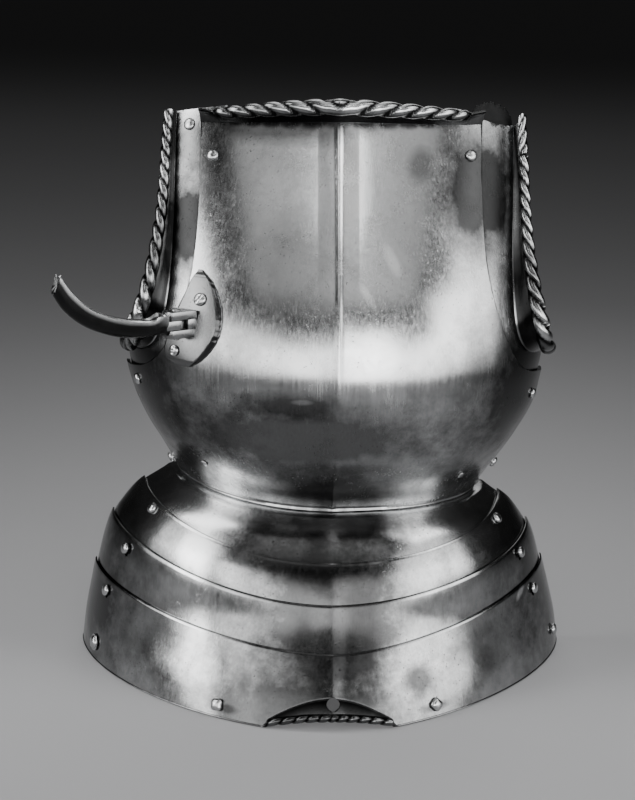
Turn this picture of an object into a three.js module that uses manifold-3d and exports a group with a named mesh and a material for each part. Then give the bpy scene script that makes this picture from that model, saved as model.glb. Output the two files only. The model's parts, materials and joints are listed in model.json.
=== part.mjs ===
// Steel breastplate with a waist plate, a fauld of three lames and a folding lance rest.
// Millimetres, +Z up, front towards -Y. The wearer's right is -X. The rim stands on z = 0 and the
// finished assembly is centred on the origin.
import * as THREE from "three";
import { mergeVertices } from "three/addons/utils/BufferGeometryUtils.js";
import Module from "manifold-3d";

const wasm = await Module();
wasm.setup();
const { Manifold, Mesh } = wasm;

// ---------------------------------------------------------------- driving dimensions
const BREAST_WALL = 2.0;
const GUSSET_WALL = 1.6;
const LAME_WALL = 1.6;
const SLIP = 0.35;            // gap between plates that touch in the real object
const LAME_SLIP = 0.7;        // gap between two lames
const GUSSET_SLIP = 1.3;      // the gusset lies a little looser inside the breastplate
const WAIST_Z = 156;          // height of the waist crease in the chest table
const BLEND_Z = 228;          // above this height the waist crease no longer moves the chest
const SIDE = 0.985;           // position of the side edge, 0 = ridge, 1 = side plane
const COLUMNS = 18;           // facets from the ridge to one side
const STRAND_COLUMNS = 2.6;   // facets along one strand of a roped edge
const BAND_COLUMNS = 11;      // facets of a lame from the ridge to one side
const ROUND_SIDES = 7;        // facets round a rivet
const HOLE_SIDES = 6;         // facets round a rivet's hole
const STRAND_RELIEF = 0.13;   // height of a strand as a share of the rope's radius
const TRAVEL = 4;             // how far a sliding lame rises
const RIGHT = -1;
const LEFT = 1;

// The chest: half widths on the wearer's right and left, depth of the ridge, fullness of the
// section (2 = ellipse) and height of the keel along the ridge.
const CHEST = [
  { z: 140, right: 131.5, left: 131.5, depth: 110.0, full: 2.00, keel: 1.0 },
  { z: 156, right: 131.5, left: 131.5, depth: 112.0, full: 2.00, keel: 1.0 },
  { z: 170, right: 137.5, left: 140.0, depth: 120.0, full: 2.02, keel: 1.0 },
  { z: 187, right: 145.5, left: 152.0, depth: 132.0, full: 2.06, keel: 1.1 },
  { z: 205, right: 155.0, left: 163.5, depth: 143.0, full: 2.10, keel: 1.2 },
  { z: 228, right: 164.5, left: 175.5, depth: 152.5, full: 2.15, keel: 1.3 },
  { z: 250, right: 171.0, left: 180.0, depth: 157.5, full: 2.20, keel: 1.3 },
  { z: 275, right: 175.0, left: 184.0, depth: 158.5, full: 2.20, keel: 1.4 },
  { z: 305, right: 176.0, left: 184.5, depth: 152.5, full: 2.20, keel: 1.5 },
  { z: 335, right: 174.0, left: 182.5, depth: 141.5, full: 2.20, keel: 1.7 },
  { z: 365, right: 170.0, left: 178.5, depth: 126.0, full: 2.22, keel: 2.0 },
  { z: 400, right: 163.5, left: 172.5, depth: 107.0, full: 2.26, keel: 2.4 },
  { z: 430, right: 157.5, left: 166.5, depth:  91.5, full: 2.30, keel: 2.8 },
  { z: 462, right: 150.5, left: 160.5, depth:  76.0, full: 2.35, keel: 3.0 },
  { z: 490, right: 145.0, left: 155.0, depth:  66.0, full: 2.35, keel: 3.0 },
];

// The flare below the waist: drop under the crease, growth at the side and at the front.
const FLARE = [
  { drop: -14, side:  0.0, front:  0.0 },
  { drop:   0, side:  0.0, front:  0.0 },
  { drop:   6, side:  7.5, front:  5.5 },
  { drop:  12, side: 17.0, front: 12.0 },
  { drop:  18, side: 26.0, front: 17.5 },
  { drop:  24, side: 32.5, front: 22.0 },
  { drop:  34, side: 40.5, front: 28.5 },
  { drop:  46, side: 48.5, front: 35.0 },
  { drop:  62, side: 54.5, front: 41.5 },
  { drop:  84, side: 60.0, front: 49.0 },
  { drop: 110, side: 65.0, front: 62.0 },
  { drop: 135, side: 69.5, front: 74.5 },
  { drop: 156, side: 72.0, front: 84.5 },
  { drop: 170, side: 73.5, front: 91.0 },
];

// Edges that run round the body: height at the ridge and the rise towards each side.
const EDGES = {
  crease: { z: 155.0, right: 9.0, left: -4.0 },
  lame1: { z: 118.5, right: 28.0, left: 19.0 },
  lame2: { z: 88.0, right: 29.0, left: 23.0 },
  lame3: { z: 55.0, right: 18.0, left: 24.0 },
};

// Rows of the breastplate above its lower edge, up to the neck crease: height at the ridge, height
// at the plate's edge on each side, and how far round the edge lies.
const BREAST_ROWS = [
  { mid: 172, right: 182, left: 176, reach: 0.985 },
  { mid: 191, right: 205, left: 201, reach: 0.985 },
  { mid: 212, right: 229, left: 227, reach: 0.985 },
  { mid: 232, right: 252, left: 250, reach: 0.985 },
  { mid: 247, right: 257, left: 255, reach: 0.88 },
  { mid: 262, right: 261, left: 260, reach: 0.77 },
  { mid: 275, right: 267, left: 265, reach: 0.665 },
  { mid: 288, right: 279, left: 275, reach: 0.572 },
  { mid: 308, right: 302, left: 300, reach: 0.497 },
  { mid: 332, right: 330, left: 330, reach: 0.450 },
  { mid: 359, right: 358, left: 358, reach: 0.431 },
  { mid: 386, right: 386, left: 386, reach: 0.431 },
  { mid: 412, right: 412, left: 412, reach: 0.441 },
  { mid: 438, right: 437, left: 438, reach: 0.455 },
  { mid: 462.5, right: 459.5, left: 461.5, reach: 0.475 },
];

// Neck border across the plate: share of the way to the plate's edge, how far the flange leans
// out and rises, and the rope's radius.
const NECK = [
  { at: 0.00, out: 12.0, rise: 14.0, rope: 6.2 },
  { at: 0.30, out: 11.0, rise: 12.3, rope: 5.6 },
  { at: 0.60, out: 9.0, rise: 10.0, rope: 4.7 },
  { at: 0.80, out: 7.0, rise: 8.6, rope: 4.0 },
  { at: 0.86, out: 6.0, rise: 9.5, rope: 1.3 },
  { at: 1.00, out: 4.5, rise: 11.5, rope: 1.3 },
];

// Gusset from its top to its lower end: crease (a little wider on the wearer's left), hidden edge
// under the breastplate, length of the flared border and the rope's radius.
const GUSSET = [
  { z: 466, round: 0.668, more: 0.032, hiddenZ: 473, hidden: 0.370, flare: 7.5, rope: 3.9 },
  { z: 430, round: 0.622, more: 0.030, hiddenZ: 430, hidden: 0.352, flare: 9.0, rope: 4.1 },
  { z: 398, round: 0.585, more: 0.026, hiddenZ: 400, hidden: 0.345, flare: 10.5, rope: 4.4 },
  { z: 372, round: 0.562, more: 0.018, hiddenZ: 372, hidden: 0.345, flare: 13.0, rope: 4.8 },
  { z: 345, round: 0.550, more: 0.012, hiddenZ: 344, hidden: 0.352, flare: 16.0, rope: 5.4 },
  { z: 318, round: 0.555, more: 0.006, hiddenZ: 312, hidden: 0.380, flare: 19.5, rope: 6.0 },
  { z: 300, round: 0.578, more: 0.000, hiddenZ: 284, hidden: 0.425, flare: 21.0, rope: 6.3 },
  { z: 287, round: 0.620, more: 0.000, hiddenZ: 258, hidden: 0.490, flare: 19.0, rope: 6.3 },
  { z: 279, round: 0.690, more: 0.000, hiddenZ: 240, hidden: 0.600, flare: 14.5, rope: 6.0 },
  { z: 275, round: 0.790, more: 0.000, hiddenZ: 229, hidden: 0.740, flare: 9.5, rope: 5.2 },
  { z: 273, round: 0.890, more: 0.000, hiddenZ: 226, hidden: 0.870, flare: 6.0, rope: 4.4 },
  { z: 272, round: 0.985, more: 0.000, hiddenZ: 225, hidden: 0.985, flare: 4.0, rope: 3.6 },
];
const GUSSET_LEAN = THREE.MathUtils.degToRad(62);   // border against the plate it springs from
const GUSSET_COLUMNS = 30;
const TORN_DIP = 9;           // how far the broken top of the wearer's left gusset dips

// ---------------------------------------------------------------- helpers
const colour = (hex, rough) => new THREE.MeshStandardMaterial({
  color: hex, roughness: rough, metalness: 1.0, flatShading: true });
const V = (x, y, z) => new THREE.Vector3(x, y, z);
const group = new THREE.Group();
group.name = "cuirass_breastplate";

function smooth(t) {
  const c = Math.min(1, Math.max(0, t));
  return c * c * (3 - 2 * c);
}

// Reads one column of a table at any value of its key column, along a smooth curve.
function read(table, key, at, column) {
  const n = table.length;
  const up = table[n - 1][key] > table[0][key] ? 1 : -1;
  let i = 0;
  while (i < n - 2 && up * (at - table[i + 1][key]) > 0) i += 1;
  const a = table[i];
  const b = table[i + 1];
  const before = table[Math.max(0, i - 1)];
  const after = table[Math.min(n - 1, i + 2)];
  const step = b[key] - a[key];
  const t = Math.min(1, Math.max(0, (at - a[key]) / step));
  const slopeA = (b[column] - before[column]) / (b[key] - before[key] || 1) * step;
  const slopeB = (after[column] - a[column]) / (after[key] - a[key] || 1) * step;
  const t2 = t * t;
  const t3 = t2 * t;
  return a[column] * (2 * t3 - 3 * t2 + 1) + slopeA * (t3 - 2 * t2 + t)
    + b[column] * (3 * t2 - 2 * t3) + slopeB * (t3 - t2);
}

function edgeHeight(name, side, round) {
  const edge = EDGES[name];
  const rise = side === RIGHT ? edge.right : edge.left;
  return edge.z + rise * smooth((round - 0.05) / 0.85);
}

// A point on a horizontal section: a rounded curve from the ridge to the side plane.
function section(side, round, half, depth, full, keel) {
  const a = Math.min(1, Math.max(0, round)) * Math.PI / 2;
  const x = half * Math.pow(Math.sin(a), 2 / full);
  const y = depth * Math.pow(Math.cos(a), 2 / full);
  const ridge = keel * Math.max(0, 1 - x / 16);
  return V(side * x, -(y + ridge), 0);
}

function chestForm(side, round, z) {
  let at = z;
  const crease = edgeHeight("crease", side, round);
  if (z < BLEND_Z) {
    at = WAIST_Z + (z - crease) * (BLEND_Z - WAIST_Z) / (BLEND_Z - crease);
  }
  const half = read(CHEST, "z", at, side === RIGHT ? "right" : "left");
  const p = section(side, round, half, read(CHEST, "z", at, "depth"),
    read(CHEST, "z", at, "full"), read(CHEST, "z", at, "keel"));
  p.z = z;
  return p;
}

function fauldForm(side, round, z) {
  const drop = edgeHeight("crease", side, round) - z;
  const growth = side === RIGHT ? 1.03 : 0.93 + 0.07 * smooth((drop - 60) / 70);
  const half = CHEST[1].right + read(FLARE, "drop", drop, "side") * growth;
  const depth = CHEST[1].depth + read(FLARE, "drop", drop, "front");
  const lean = side === RIGHT ? 0.34 : 0.42;
  const p = section(side, round, half, depth, 2.0 - lean * smooth(drop / 130), 1.0);
  p.z = z;
  return p;
}

// The outward direction of a form at a point.
function outward(form, side, round, z) {
  const e = 0.012;
  const r0 = Math.max(0.004, round - e);
  const r1 = Math.min(0.996, round + e);
  const across = form(side, r1, z).sub(form(side, r0, z));
  const up = form(side, round, z + 1).sub(form(side, round, z - 1));
  const n = side === LEFT ? across.cross(up) : up.cross(across);
  if (round < 0.02) n.x = 0;
  return n.normalize();
}

function lift(form, side, round, z, by) {
  return form(side, round, z).addScaledVector(outward(form, side, round, z), by);
}

// The same, with the lifted point brought to the height z.
function liftLevel(form, side, round, z, by) {
  let at = z;
  for (let k = 0; k < 4; k += 1) at += z - lift(form, side, round, at, by).z;
  return lift(form, side, round, at, by);
}

// Builds a closed shell from columns that share the same rows. A column holds its outer points,
// its inner points and, where the last row carries a rope, the ring between the two. Each facet
// is split along its shorter diagonal.
function shell(columns) {
  const rows = columns[0].outer.length;
  const ring = columns[0].ring.length;
  const size = 2 * rows + ring;
  const points = [];
  columns.forEach((c) => {
    const inner = c.inner.slice().reverse();
    [...c.outer, ...c.ring, ...inner].forEach((p) => points.push(p.x, p.y, p.z));
  });
  const faces = [];
  const span = (a, b) => Math.hypot(points[3 * a] - points[3 * b],
    points[3 * a + 1] - points[3 * b + 1], points[3 * a + 2] - points[3 * b + 2]);
  const quad = (a, b, c, d) => {
    if (span(a, c) <= span(b, d)) faces.push(a, b, c, a, c, d);
    else faces.push(a, b, d, b, c, d);
  };
  for (let i = 0; i < columns.length - 1; i += 1) {
    for (let j = 0; j < size; j += 1) {
      const k = (j + 1) % size;
      quad(i * size + j, (i + 1) * size + j, (i + 1) * size + k, i * size + k);
    }
  }
  [0, columns.length - 1].forEach((i, end) => {
    const base = i * size;
    const put = (a, b, c) => (end ? faces.push(base + a, base + c, base + b)
      : faces.push(base + a, base + b, base + c));
    for (let j = 0; j < rows - 1; j += 1) {
      put(j, j + 1, size - 2 - j);
      put(j, size - 2 - j, size - 1 - j);
    }
    for (let j = rows - 1; j < rows + ring - 1; j += 1) put(j, j + 1, rows + ring);
  });
  return closed(points, faces);
}

// Makes the geometry and turns it the right way out.
function closed(points, faces) {
  const g = new THREE.BufferGeometry();
  g.setAttribute("position", new THREE.Float32BufferAttribute(points, 3));
  let volume = 0;
  const at = (i) => V(points[3 * i], points[3 * i + 1], points[3 * i + 2]);
  for (let i = 0; i < faces.length; i += 3) {
    volume += at(faces[i]).dot(at(faces[i + 1]).cross(at(faces[i + 2])));
  }
  if (volume < 0) faces.reverse();
  g.setIndex(faces);
  return g;
}

// The points of a rope's section. The flange enters it from the direction "back"; strand is the
// position along the rope counted in strands.
function ropeRing(centre, back, cross, radius, wall, count, strand, relief) {
  const gap = Math.asin(Math.min(0.8, wall / 2 / radius));
  const out = [];
  for (let k = 0; k < count; k += 1) {
    const turn = gap + (2 * Math.PI - 2 * gap) * k / (count - 1);
    const wave = Math.cos(2 * Math.PI * (strand + turn / (2 * Math.PI)));
    const edge = k === 0 || k === count - 1;
    const r = radius * (1 + (edge ? 0 : relief * wave));
    out.push(centre.clone().addScaledVector(back, r * Math.cos(turn))
      .addScaledVector(cross, r * Math.sin(turn)));
  }
  return out;
}

function add(name, geometry, material) {
  const mesh = new THREE.Mesh(geometry, material);
  mesh.name = name;
  group.add(mesh);
  return mesh;
}

// ---------------------------------------------------------------- cutting and turned pieces
function solid(geometry) {
  const g = geometry.clone();
  ["normal", "uv"].forEach((n) => g.deleteAttribute(n));
  const m = mergeVertices(g, 1e-4);
  return new Manifold(new Mesh({ numProp: 3,
    vertProperties: new Float32Array(m.attributes.position.array),
    triVerts: new Uint32Array(m.index.array) }));
}

function geometryOf(manifold) {
  const m = manifold.getMesh();
  const g = new THREE.BufferGeometry();
  g.setAttribute("position", new THREE.BufferAttribute(new Float32Array(m.vertProperties), 3));
  g.setIndex(Array.from(m.triVerts));
  return g;
}

function cut(geometry, cutters) {
  return geometryOf(cutters.reduce((left, c) => left.subtract(solid(c)), solid(geometry)));
}

// Turns +Z of a geometry to a direction and moves it to a point.
function place(geometry, point, direction) {
  const q = new THREE.Quaternion().setFromUnitVectors(V(0, 0, 1), direction);
  return geometry.clone().applyQuaternion(q).translate(point.x, point.y, point.z);
}

// A closed turned piece from a profile of radius and height that starts and ends on the axis.
function turned(profile, sides) {
  const points = [0, 0, profile[0][1]];
  const faces = [];
  const rings = profile.slice(1, -1);
  rings.forEach(([r, h]) => {
    for (let k = 0; k < sides; k += 1) {
      const a = 2 * Math.PI * (k + 0.5) / sides;
      points.push(r * Math.cos(a), r * Math.sin(a), h);
    }
  });
  points.push(0, 0, profile[profile.length - 1][1]);
  const last = points.length / 3 - 1;
  for (let k = 0; k < sides; k += 1) {
    const n = (k + 1) % sides;
    faces.push(0, 1 + k, 1 + n);
    for (let j = 0; j < rings.length - 1; j += 1) {
      const a = 1 + j * sides;
      const b = a + sides;
      faces.push(a + k, b + k, b + n, a + k, b + n, a + n);
    }
    const a = 1 + (rings.length - 1) * sides;
    faces.push(last, a + n, a + k);
  }
  return closed(points, faces);
}

const drill = (radius, length, sides) => turned([[0, length / 2], [radius, length / 2],
  [radius, -length / 2], [0, -length / 2]], sides);

// ---------------------------------------------------------------- breastplate
function breastColumn(side, u, strand) {
  const outer = [];
  const inner = [];
  const put = (round, z) => {
    outer.push(lift(chestForm, side, round, z, 0));
    inner.push(lift(chestForm, side, round, z, -BREAST_WALL));
  };
  put(u * SIDE, edgeHeight("crease", side, u * SIDE) + SLIP);
  BREAST_ROWS.forEach((row) => {
    const edge = side === RIGHT ? row.right : row.left;
    put(u * row.reach, row.mid + (edge - row.mid) * Math.pow(u, 1.5));
  });
  const row = BREAST_ROWS[BREAST_ROWS.length - 1];
  const n = outward(chestForm, side, u * row.reach, row.mid).setZ(0).normalize();
  const up = V(0, 0, 1);
  const root = outer[outer.length - 1].clone().add(inner[inner.length - 1]).multiplyScalar(0.5);
  const out = read(NECK, "at", u, "out");
  const rise = read(NECK, "at", u, "rise");
  const radius = read(NECK, "at", u, "rope");
  const centre = root.clone().addScaledVector(n, out).addScaledVector(up, rise);
  const mid = root.clone().addScaledVector(n, out * 0.36).addScaledVector(up, rise * 0.58);
  const across = n.clone().multiplyScalar(rise * 0.8).addScaledVector(up, -out).normalize();
  outer.push(mid.clone().addScaledVector(across, BREAST_WALL / 2));
  inner.push(mid.clone().addScaledVector(across, -BREAST_WALL / 2));
  const back = mid.clone().sub(centre).normalize();
  const cross = n.clone().multiplyScalar(-back.z).addScaledVector(up, back.dot(n));
  if (cross.dot(across) < 0) cross.negate();
  const relief = u < 0.84 ? STRAND_RELIEF : 0;
  const ring = ropeRing(centre, back, cross, radius, BREAST_WALL, 6, strand, relief);
  return { outer, inner, ring };
}

const breastColumns = [];
for (let i = -COLUMNS; i <= COLUMNS; i += 1) {
  const side = i < 0 ? RIGHT : LEFT;
  const u = Math.abs(i) / COLUMNS;
  breastColumns.push(breastColumn(side, u, (Math.abs(i) - 1.5) / STRAND_COLUMNS));
}
let breastplate = shell(breastColumns);

// ---------------------------------------------------------------- gussets
function gussetColumn(side, t, strand) {
  const at = t * (GUSSET.length - 1);
  const table = GUSSET.map((row, index) => ({ ...row, index }));
  const value = (column) => read(table, "index", at, column);
  const torn = side === LEFT ? TORN_DIP * Math.max(0, 1 - at / 1.5) : 0;
  const bend = value("round") + (side === LEFT ? 1 : -0.7) * value("more");
  const level = -BREAST_WALL - GUSSET_SLIP;
  const outer = [];
  const inner = [];
  const steps = [0, 0.36, 0.7, 1];
  steps.forEach((k) => {
    const round = value("hidden") + (bend - value("hidden")) * k;
    const z = value("hiddenZ") + (value("z") - value("hiddenZ")) * k - torn * smooth(1.6 * k);
    outer.push(lift(chestForm, side, round, z, level));
    inner.push(lift(chestForm, side, round, z, level - GUSSET_WALL));
  });
  const path = (s) => {
    const c = Math.min(table.length - 1, Math.max(0, s));
    return chestForm(side, read(table, "index", c, "round"), read(table, "index", c, "z"));
  };
  const along = path(at + 0.2).sub(path(at - 0.2)).normalize();
  const n = outward(chestForm, side, bend, value("z"));
  const open = along.clone().cross(n).normalize();
  if (side === LEFT) open.negate();
  const root = outer[3].clone().add(inner[3]).multiplyScalar(0.5);
  const lean = (angle) => open.clone().multiplyScalar(Math.cos(angle))
    .addScaledVector(n, Math.sin(angle));
  const tuck = side === RIGHT ? 1 - 0.4 * smooth((at - 6) / 4) : 1;
  const flare = value("flare") * tuck;
  const mid = root.clone().addScaledVector(lean(GUSSET_LEAN * 0.75), flare * 0.45);
  const centre = root.clone().addScaledVector(lean(GUSSET_LEAN), flare);
  mid.z += 0.5 * torn;
  centre.z += torn;
  const back = mid.clone().sub(centre).normalize();
  const cross = back.clone().cross(along).normalize();
  if (cross.dot(n) < 0) cross.negate();
  outer.push(mid.clone().addScaledVector(cross, GUSSET_WALL / 2));
  inner.push(mid.clone().addScaledVector(cross, -GUSSET_WALL / 2));
  const twist = side === RIGHT ? strand : -strand;
  const ring = ropeRing(centre, back, cross, value("rope"), GUSSET_WALL, 6, twist,
    STRAND_RELIEF);
  return { outer, inner, ring };
}

function gusset(side) {
  const columns = [];
  for (let i = 0; i <= GUSSET_COLUMNS; i += 1) {
    columns.push(gussetColumn(side, i / GUSSET_COLUMNS, i / 2.3));
  }
  return shell(columns);
}
const gussetRight = gusset(RIGHT);
const gussetLeft = gusset(LEFT);

// ---------------------------------------------------------------- waist plate and lames
// A band round the body. Each row gives a height for a place on the band and the level of its
// outer face above the form.
function band(rows, wall, form) {
  const columns = [];
  const count = BAND_COLUMNS;
  for (let i = -count; i <= count; i += 1) {
    const side = i < 0 ? RIGHT : LEFT;
    const round = SIDE * Math.abs(i) / count;
    const outer = [];
    const inner = [];
    rows.forEach((row) => {
      const z = row.height(side, round);
      const shape = row.form || form;
      outer.push(lift(shape, side, round, z, row.level));
      inner.push(lift(shape, side, round, z, row.level - wall));
    });
    columns.push({ outer, inner, ring: [] });
  }
  return shell(columns);
}

const LAP = LAME_WALL + LAME_SLIP;
const LAPS = { lame1: LAP, lame2: 2 * LAP, lame3: 3 * LAP };
const underBreast = -BREAST_WALL - SLIP;
const crease = (by) => (side, round) => edgeHeight("crease", side, round) + by;
const waistRows = [
  { height: crease(36), level: underBreast, form: chestForm },
  { height: crease(18), level: underBreast, form: chestForm },
  { height: crease(0), level: underBreast, form: chestForm },
  { height: crease(-4), level: 0.5, form: fauldForm },
  { height: crease(-12), level: 0, form: fauldForm },
  { height: (s, r) => 0.5 * (edgeHeight("crease", s, r) - 12 + edgeHeight("lame1", s, r)),
    level: 0, form: fauldForm },
  { height: (s, r) => edgeHeight("lame1", s, r) - 15, level: 0, form: fauldForm },
];
const waistPlate = band(waistRows, LAME_WALL, fauldForm);

function lameRows(top, next, level, lap) {
  const height = (t) => (s, r) => {
    const a = edgeHeight(top, s, r);
    const b = edgeHeight(next, s, r) - lap;
    return a + (b - a) * t;
  };
  return [0, 0.3, 0.62, 1].map((t) => ({ height: height(t), level }));
}
const lame1 = band(lameRows("lame1", "lame2", LAPS.lame1, 20), LAME_WALL, fauldForm);
const lame2 = band(lameRows("lame2", "lame3", LAPS.lame2, 20), LAME_WALL, fauldForm);

// The lowest lame has a shallow roped arch in the middle of its lower edge.
const ARCH_HALF = 0.2;
const ARCH_RISE = 8.0;
const ARCH_ROPE = 3.1;
function lame3Column(side, round, strand) {
  const inArch = Math.max(0, 1 - Math.pow(round / ARCH_HALF, 2));
  const roped = round < ARCH_HALF + 0.001;
  const radius = roped ? ARCH_ROPE : 1.0;
  const bottom = roped ? radius * (1 + STRAND_RELIEF) + ARCH_RISE * inArch : 0.4;
  const top = edgeHeight("lame3", side, round);
  const outer = [];
  const inner = [];
  [0, 0.45, 1].forEach((t) => {
    const z = top + (bottom + radius * 0.9 - top) * t;
    outer.push(liftLevel(fauldForm, side, round, z, LAPS.lame3));
    inner.push(liftLevel(fauldForm, side, round, z, LAPS.lame3 - LAME_WALL));
  });
  const n = outward(fauldForm, side, round, bottom);
  const middle = LAPS.lame3 - LAME_WALL / 2 + radius * 0.3;
  const centre = liftLevel(fauldForm, side, round, bottom, middle);
  const root = outer[2].clone().add(inner[2]).multiplyScalar(0.5);
  const back = root.sub(centre).normalize();
  const cross = n.clone().addScaledVector(back, -n.dot(back)).normalize();
  const relief = roped ? STRAND_RELIEF : 0;
  const ring = ropeRing(centre, back, cross, radius, LAME_WALL * 0.9, 5, strand, relief);
  ring.forEach((p) => p.setZ(Math.max(0, p.z)));
  return { outer, inner, ring };
}
const lame3Columns = [];
const archSteps = 10;
const sideSteps = 10;
for (let i = -(archSteps + sideSteps); i <= archSteps + sideSteps; i += 1) {
  const k = Math.abs(i);
  const side = i < 0 ? RIGHT : LEFT;
  const rest = (SIDE - ARCH_HALF) * (k - archSteps) / sideSteps;
  const round = k <= archSteps ? ARCH_HALF * k / archSteps : ARCH_HALF + rest;
  lame3Columns.push(lame3Column(side, round, i / 2));
}
const lame3 = shell(lame3Columns);

// What is left of the shoulder strap's iron backing, behind the torn top of the left gusset:
// place round the body and height of its upper edge.
const STRAP_PLATE = [
  { round: 0.380, top: 447 },
  { round: 0.420, top: 462 },
  { round: 0.470, top: 474 },
  { round: 0.540, top: 478 },
  { round: 0.620, top: 476 },
  { round: 0.680, top: 472 },
  { round: 0.720, top: 466 },
];
const STRAP_WALL = 1.4;
const strapLevel = -BREAST_WALL - GUSSET_SLIP - GUSSET_WALL - 1.0;
const strapPlate = shell(STRAP_PLATE.map((row) => {
  const bottom = 430 + 60 * Math.max(0, row.round - 0.42);
  const heights = [bottom, (bottom + row.top) / 2, row.top];
  const face = (level) => heights.map((z) => lift(chestForm, LEFT, row.round, z, level));
  return { outer: face(strapLevel), inner: face(strapLevel - STRAP_WALL), ring: [] };
}));

// ---------------------------------------------------------------- lance rest
// The rest stands on a half-moon plate. Its arm turns about an upright pin between two cheeks and
// stands out from the chest along ARM_LINE. "along" is measured from the chest's face.
const REST = { round: 0.415, z: 310 };
const PIN_ALONG = 16;
const ARM_TURN = THREE.MathUtils.degToRad(-24);     // arm against the chest's outward direction
const FOOT_DEPTH = 3.1;       // the hinge's foot ends inside the half-moon plate
const CHEEK_END = 9;          // from the pin to the stop face on the cheeks
const CHEEK_HALF = 6.5;       // half width of the cheeks
const CHEEK = 6.6;            // height of one cheek
const TONGUE = 7.2;           // height of the arm's tongue
const JOINT_GAP = 0.35;
const PIN_RADIUS = 2.6;
const CHEEK_MID = TONGUE / 2 + JOINT_GAP + CHEEK / 2;
const armLine = outward(chestForm, RIGHT, REST.round, REST.z).setZ(0).normalize()
  .applyAxisAngle(V(0, 0, 1), ARM_TURN);
const restFoot = chestForm(RIGHT, REST.round, REST.z);
const pinPoint = restFoot.clone().addScaledVector(armLine, PIN_ALONG);
const armAngle = Math.atan2(armLine.y, armLine.x);

// Moves a piece modelled with the pin at the origin and the arm along +X into the assembly.
const onPin = (g) => g.rotateZ(armAngle).translate(pinPoint.x, pinPoint.y, pinPoint.z);

// Half-moon plate: height, and the places of its two edges round the chest.
const MOON = [
  { z: 349, left: 0.404, right: 0.394 },
  { z: 341, left: 0.428, right: 0.355 },
  { z: 330, left: 0.452, right: 0.330 },
  { z: 317, left: 0.480, right: 0.316 },
  { z: 303, left: 0.505, right: 0.322 },
  { z: 291, left: 0.527, right: 0.348 },
  { z: 281, left: 0.528, right: 0.388 },
  { z: 275, left: 0.482, right: 0.428 },
];
const MOON_WALL = 3.4;
const MOON_EDGE = 1.5;
const moonColumns = MOON.map((row) => {
  const outer = [];
  const inner = [];
  [[0, 0], [0.1, 1], [0.5, 1], [0.9, 1], [1, 0]].forEach(([k, full], j, list) => {
    const end = row === MOON[0] || row === MOON[MOON.length - 1];
    const round = row.left + (row.right - row.left) * k;
    const height = end || j === 0 || j === list.length - 1 ? MOON_EDGE : MOON_WALL * full;
    outer.push(lift(chestForm, RIGHT, round, row.z, SLIP + height));
    inner.push(lift(chestForm, RIGHT, round, row.z, SLIP));
  });
  return { outer, inner, ring: [] };
});

// The cheeks' outline seen from above: square on the stop side, round on the side the arm turns to.
const footAt = (y) => -PIN_ALONG
  + (FOOT_DEPTH + y * Math.sin(ARM_TURN)) / Math.cos(ARM_TURN);
function cheekShape() {
  const shape = new THREE.Shape();
  shape.moveTo(footAt(-CHEEK_HALF), -CHEEK_HALF);
  shape.lineTo(CHEEK_END, -CHEEK_HALF);
  shape.lineTo(CHEEK_END, 0);
  for (let k = 1; k <= 3; k += 1) {
    const a = k * Math.PI / 12;
    shape.lineTo(CHEEK_END * Math.cos(a), CHEEK_END * Math.sin(a));
  }
  shape.lineTo(CHEEK_HALF * 0.9, CHEEK_HALF);
  shape.lineTo(footAt(CHEEK_HALF), CHEEK_HALF);
  return shape;
}
const BLOCK_FACE = -7.2;      // front of the block between the cheeks
const blockShape = new THREE.Shape([
  new THREE.Vector2(footAt(-CHEEK_HALF), -CHEEK_HALF),
  new THREE.Vector2(BLOCK_FACE, -CHEEK_HALF),
  new THREE.Vector2(BLOCK_FACE, CHEEK_HALF),
  new THREE.Vector2(footAt(CHEEK_HALF), CHEEK_HALF)]);
const slab = (shape, height, middle) => new THREE.ExtrudeGeometry(shape,
  { depth: height, bevelEnabled: false, steps: 1 }).translate(0, 0, middle - height / 2);
const baseBlock = slab(blockShape, 2 * CHEEK_MID + CHEEK, 0);
const pinHole = drill(PIN_RADIUS + JOINT_GAP, 40, 8);
const fork = [slab(cheekShape(), CHEEK, CHEEK_MID), slab(cheekShape(), CHEEK, -CHEEK_MID), baseBlock]
  .map((g) => solid(g)).reduce((a, b) => a.add(b)).subtract(solid(pinHole));
const moonPlate = solid(shell(moonColumns));
let restBracket = geometryOf(moonPlate.add(solid(onPin(geometryOf(fork)))));

// The arm: distance from the chest, top and bottom of the bar, half width.
const ARM = [
  { along: 25.4, top: 8.6, bottom: -8.6, half: 6.0 },
  { along: 30.0, top: 9.4, bottom: -6.6, half: 6.2 },
  { along: 38.8, top: 6.0, bottom: -7.2, half: 5.6 },
  { along: 50.0, top: 6.8, bottom: -7.2, half: 5.4 },
  { along: 61.5, top: 8.8, bottom: -6.0, half: 5.4 },
  { along: 77.0, top: 13.4, bottom: -1.6, half: 5.2 },
  { along: 95.0, top: 22.0, bottom: 7.0, half: 5.0 },
  { along: 110.0, top: 35.0, bottom: 20.0, half: 4.6 },
  { along: 119.0, top: 47.5, bottom: 34.0, half: 4.2 },
];
const armColumns = ARM.map((row) => {
  const x = row.along - PIN_ALONG;
  const lean = row.along > 70 ? (row.along - 70) * 0.10 : 0;
  const at = (k, y) => V(x - lean * (k - 0.5), y, row.bottom + (row.top - row.bottom) * k);
  const outer = [at(0, -0.7 * row.half), at(0.2, -row.half), at(1, -row.half)];
  const inner = [at(0, 0.7 * row.half), at(0.2, row.half), at(1, row.half)];
  return { outer, inner, ring: [at(0.93, 0)] };
});
const tongueEnd = new THREE.CylinderGeometry(CHEEK_HALF - 0.3, CHEEK_HALF - 0.3, TONGUE, 12)
  .rotateX(Math.PI / 2);
const tongueNeck = new THREE.BoxGeometry(CHEEK_END + 3, 2 * CHEEK_HALF - 2.4, TONGUE)
  .translate((CHEEK_END + 3) / 2, 0, 0);
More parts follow.
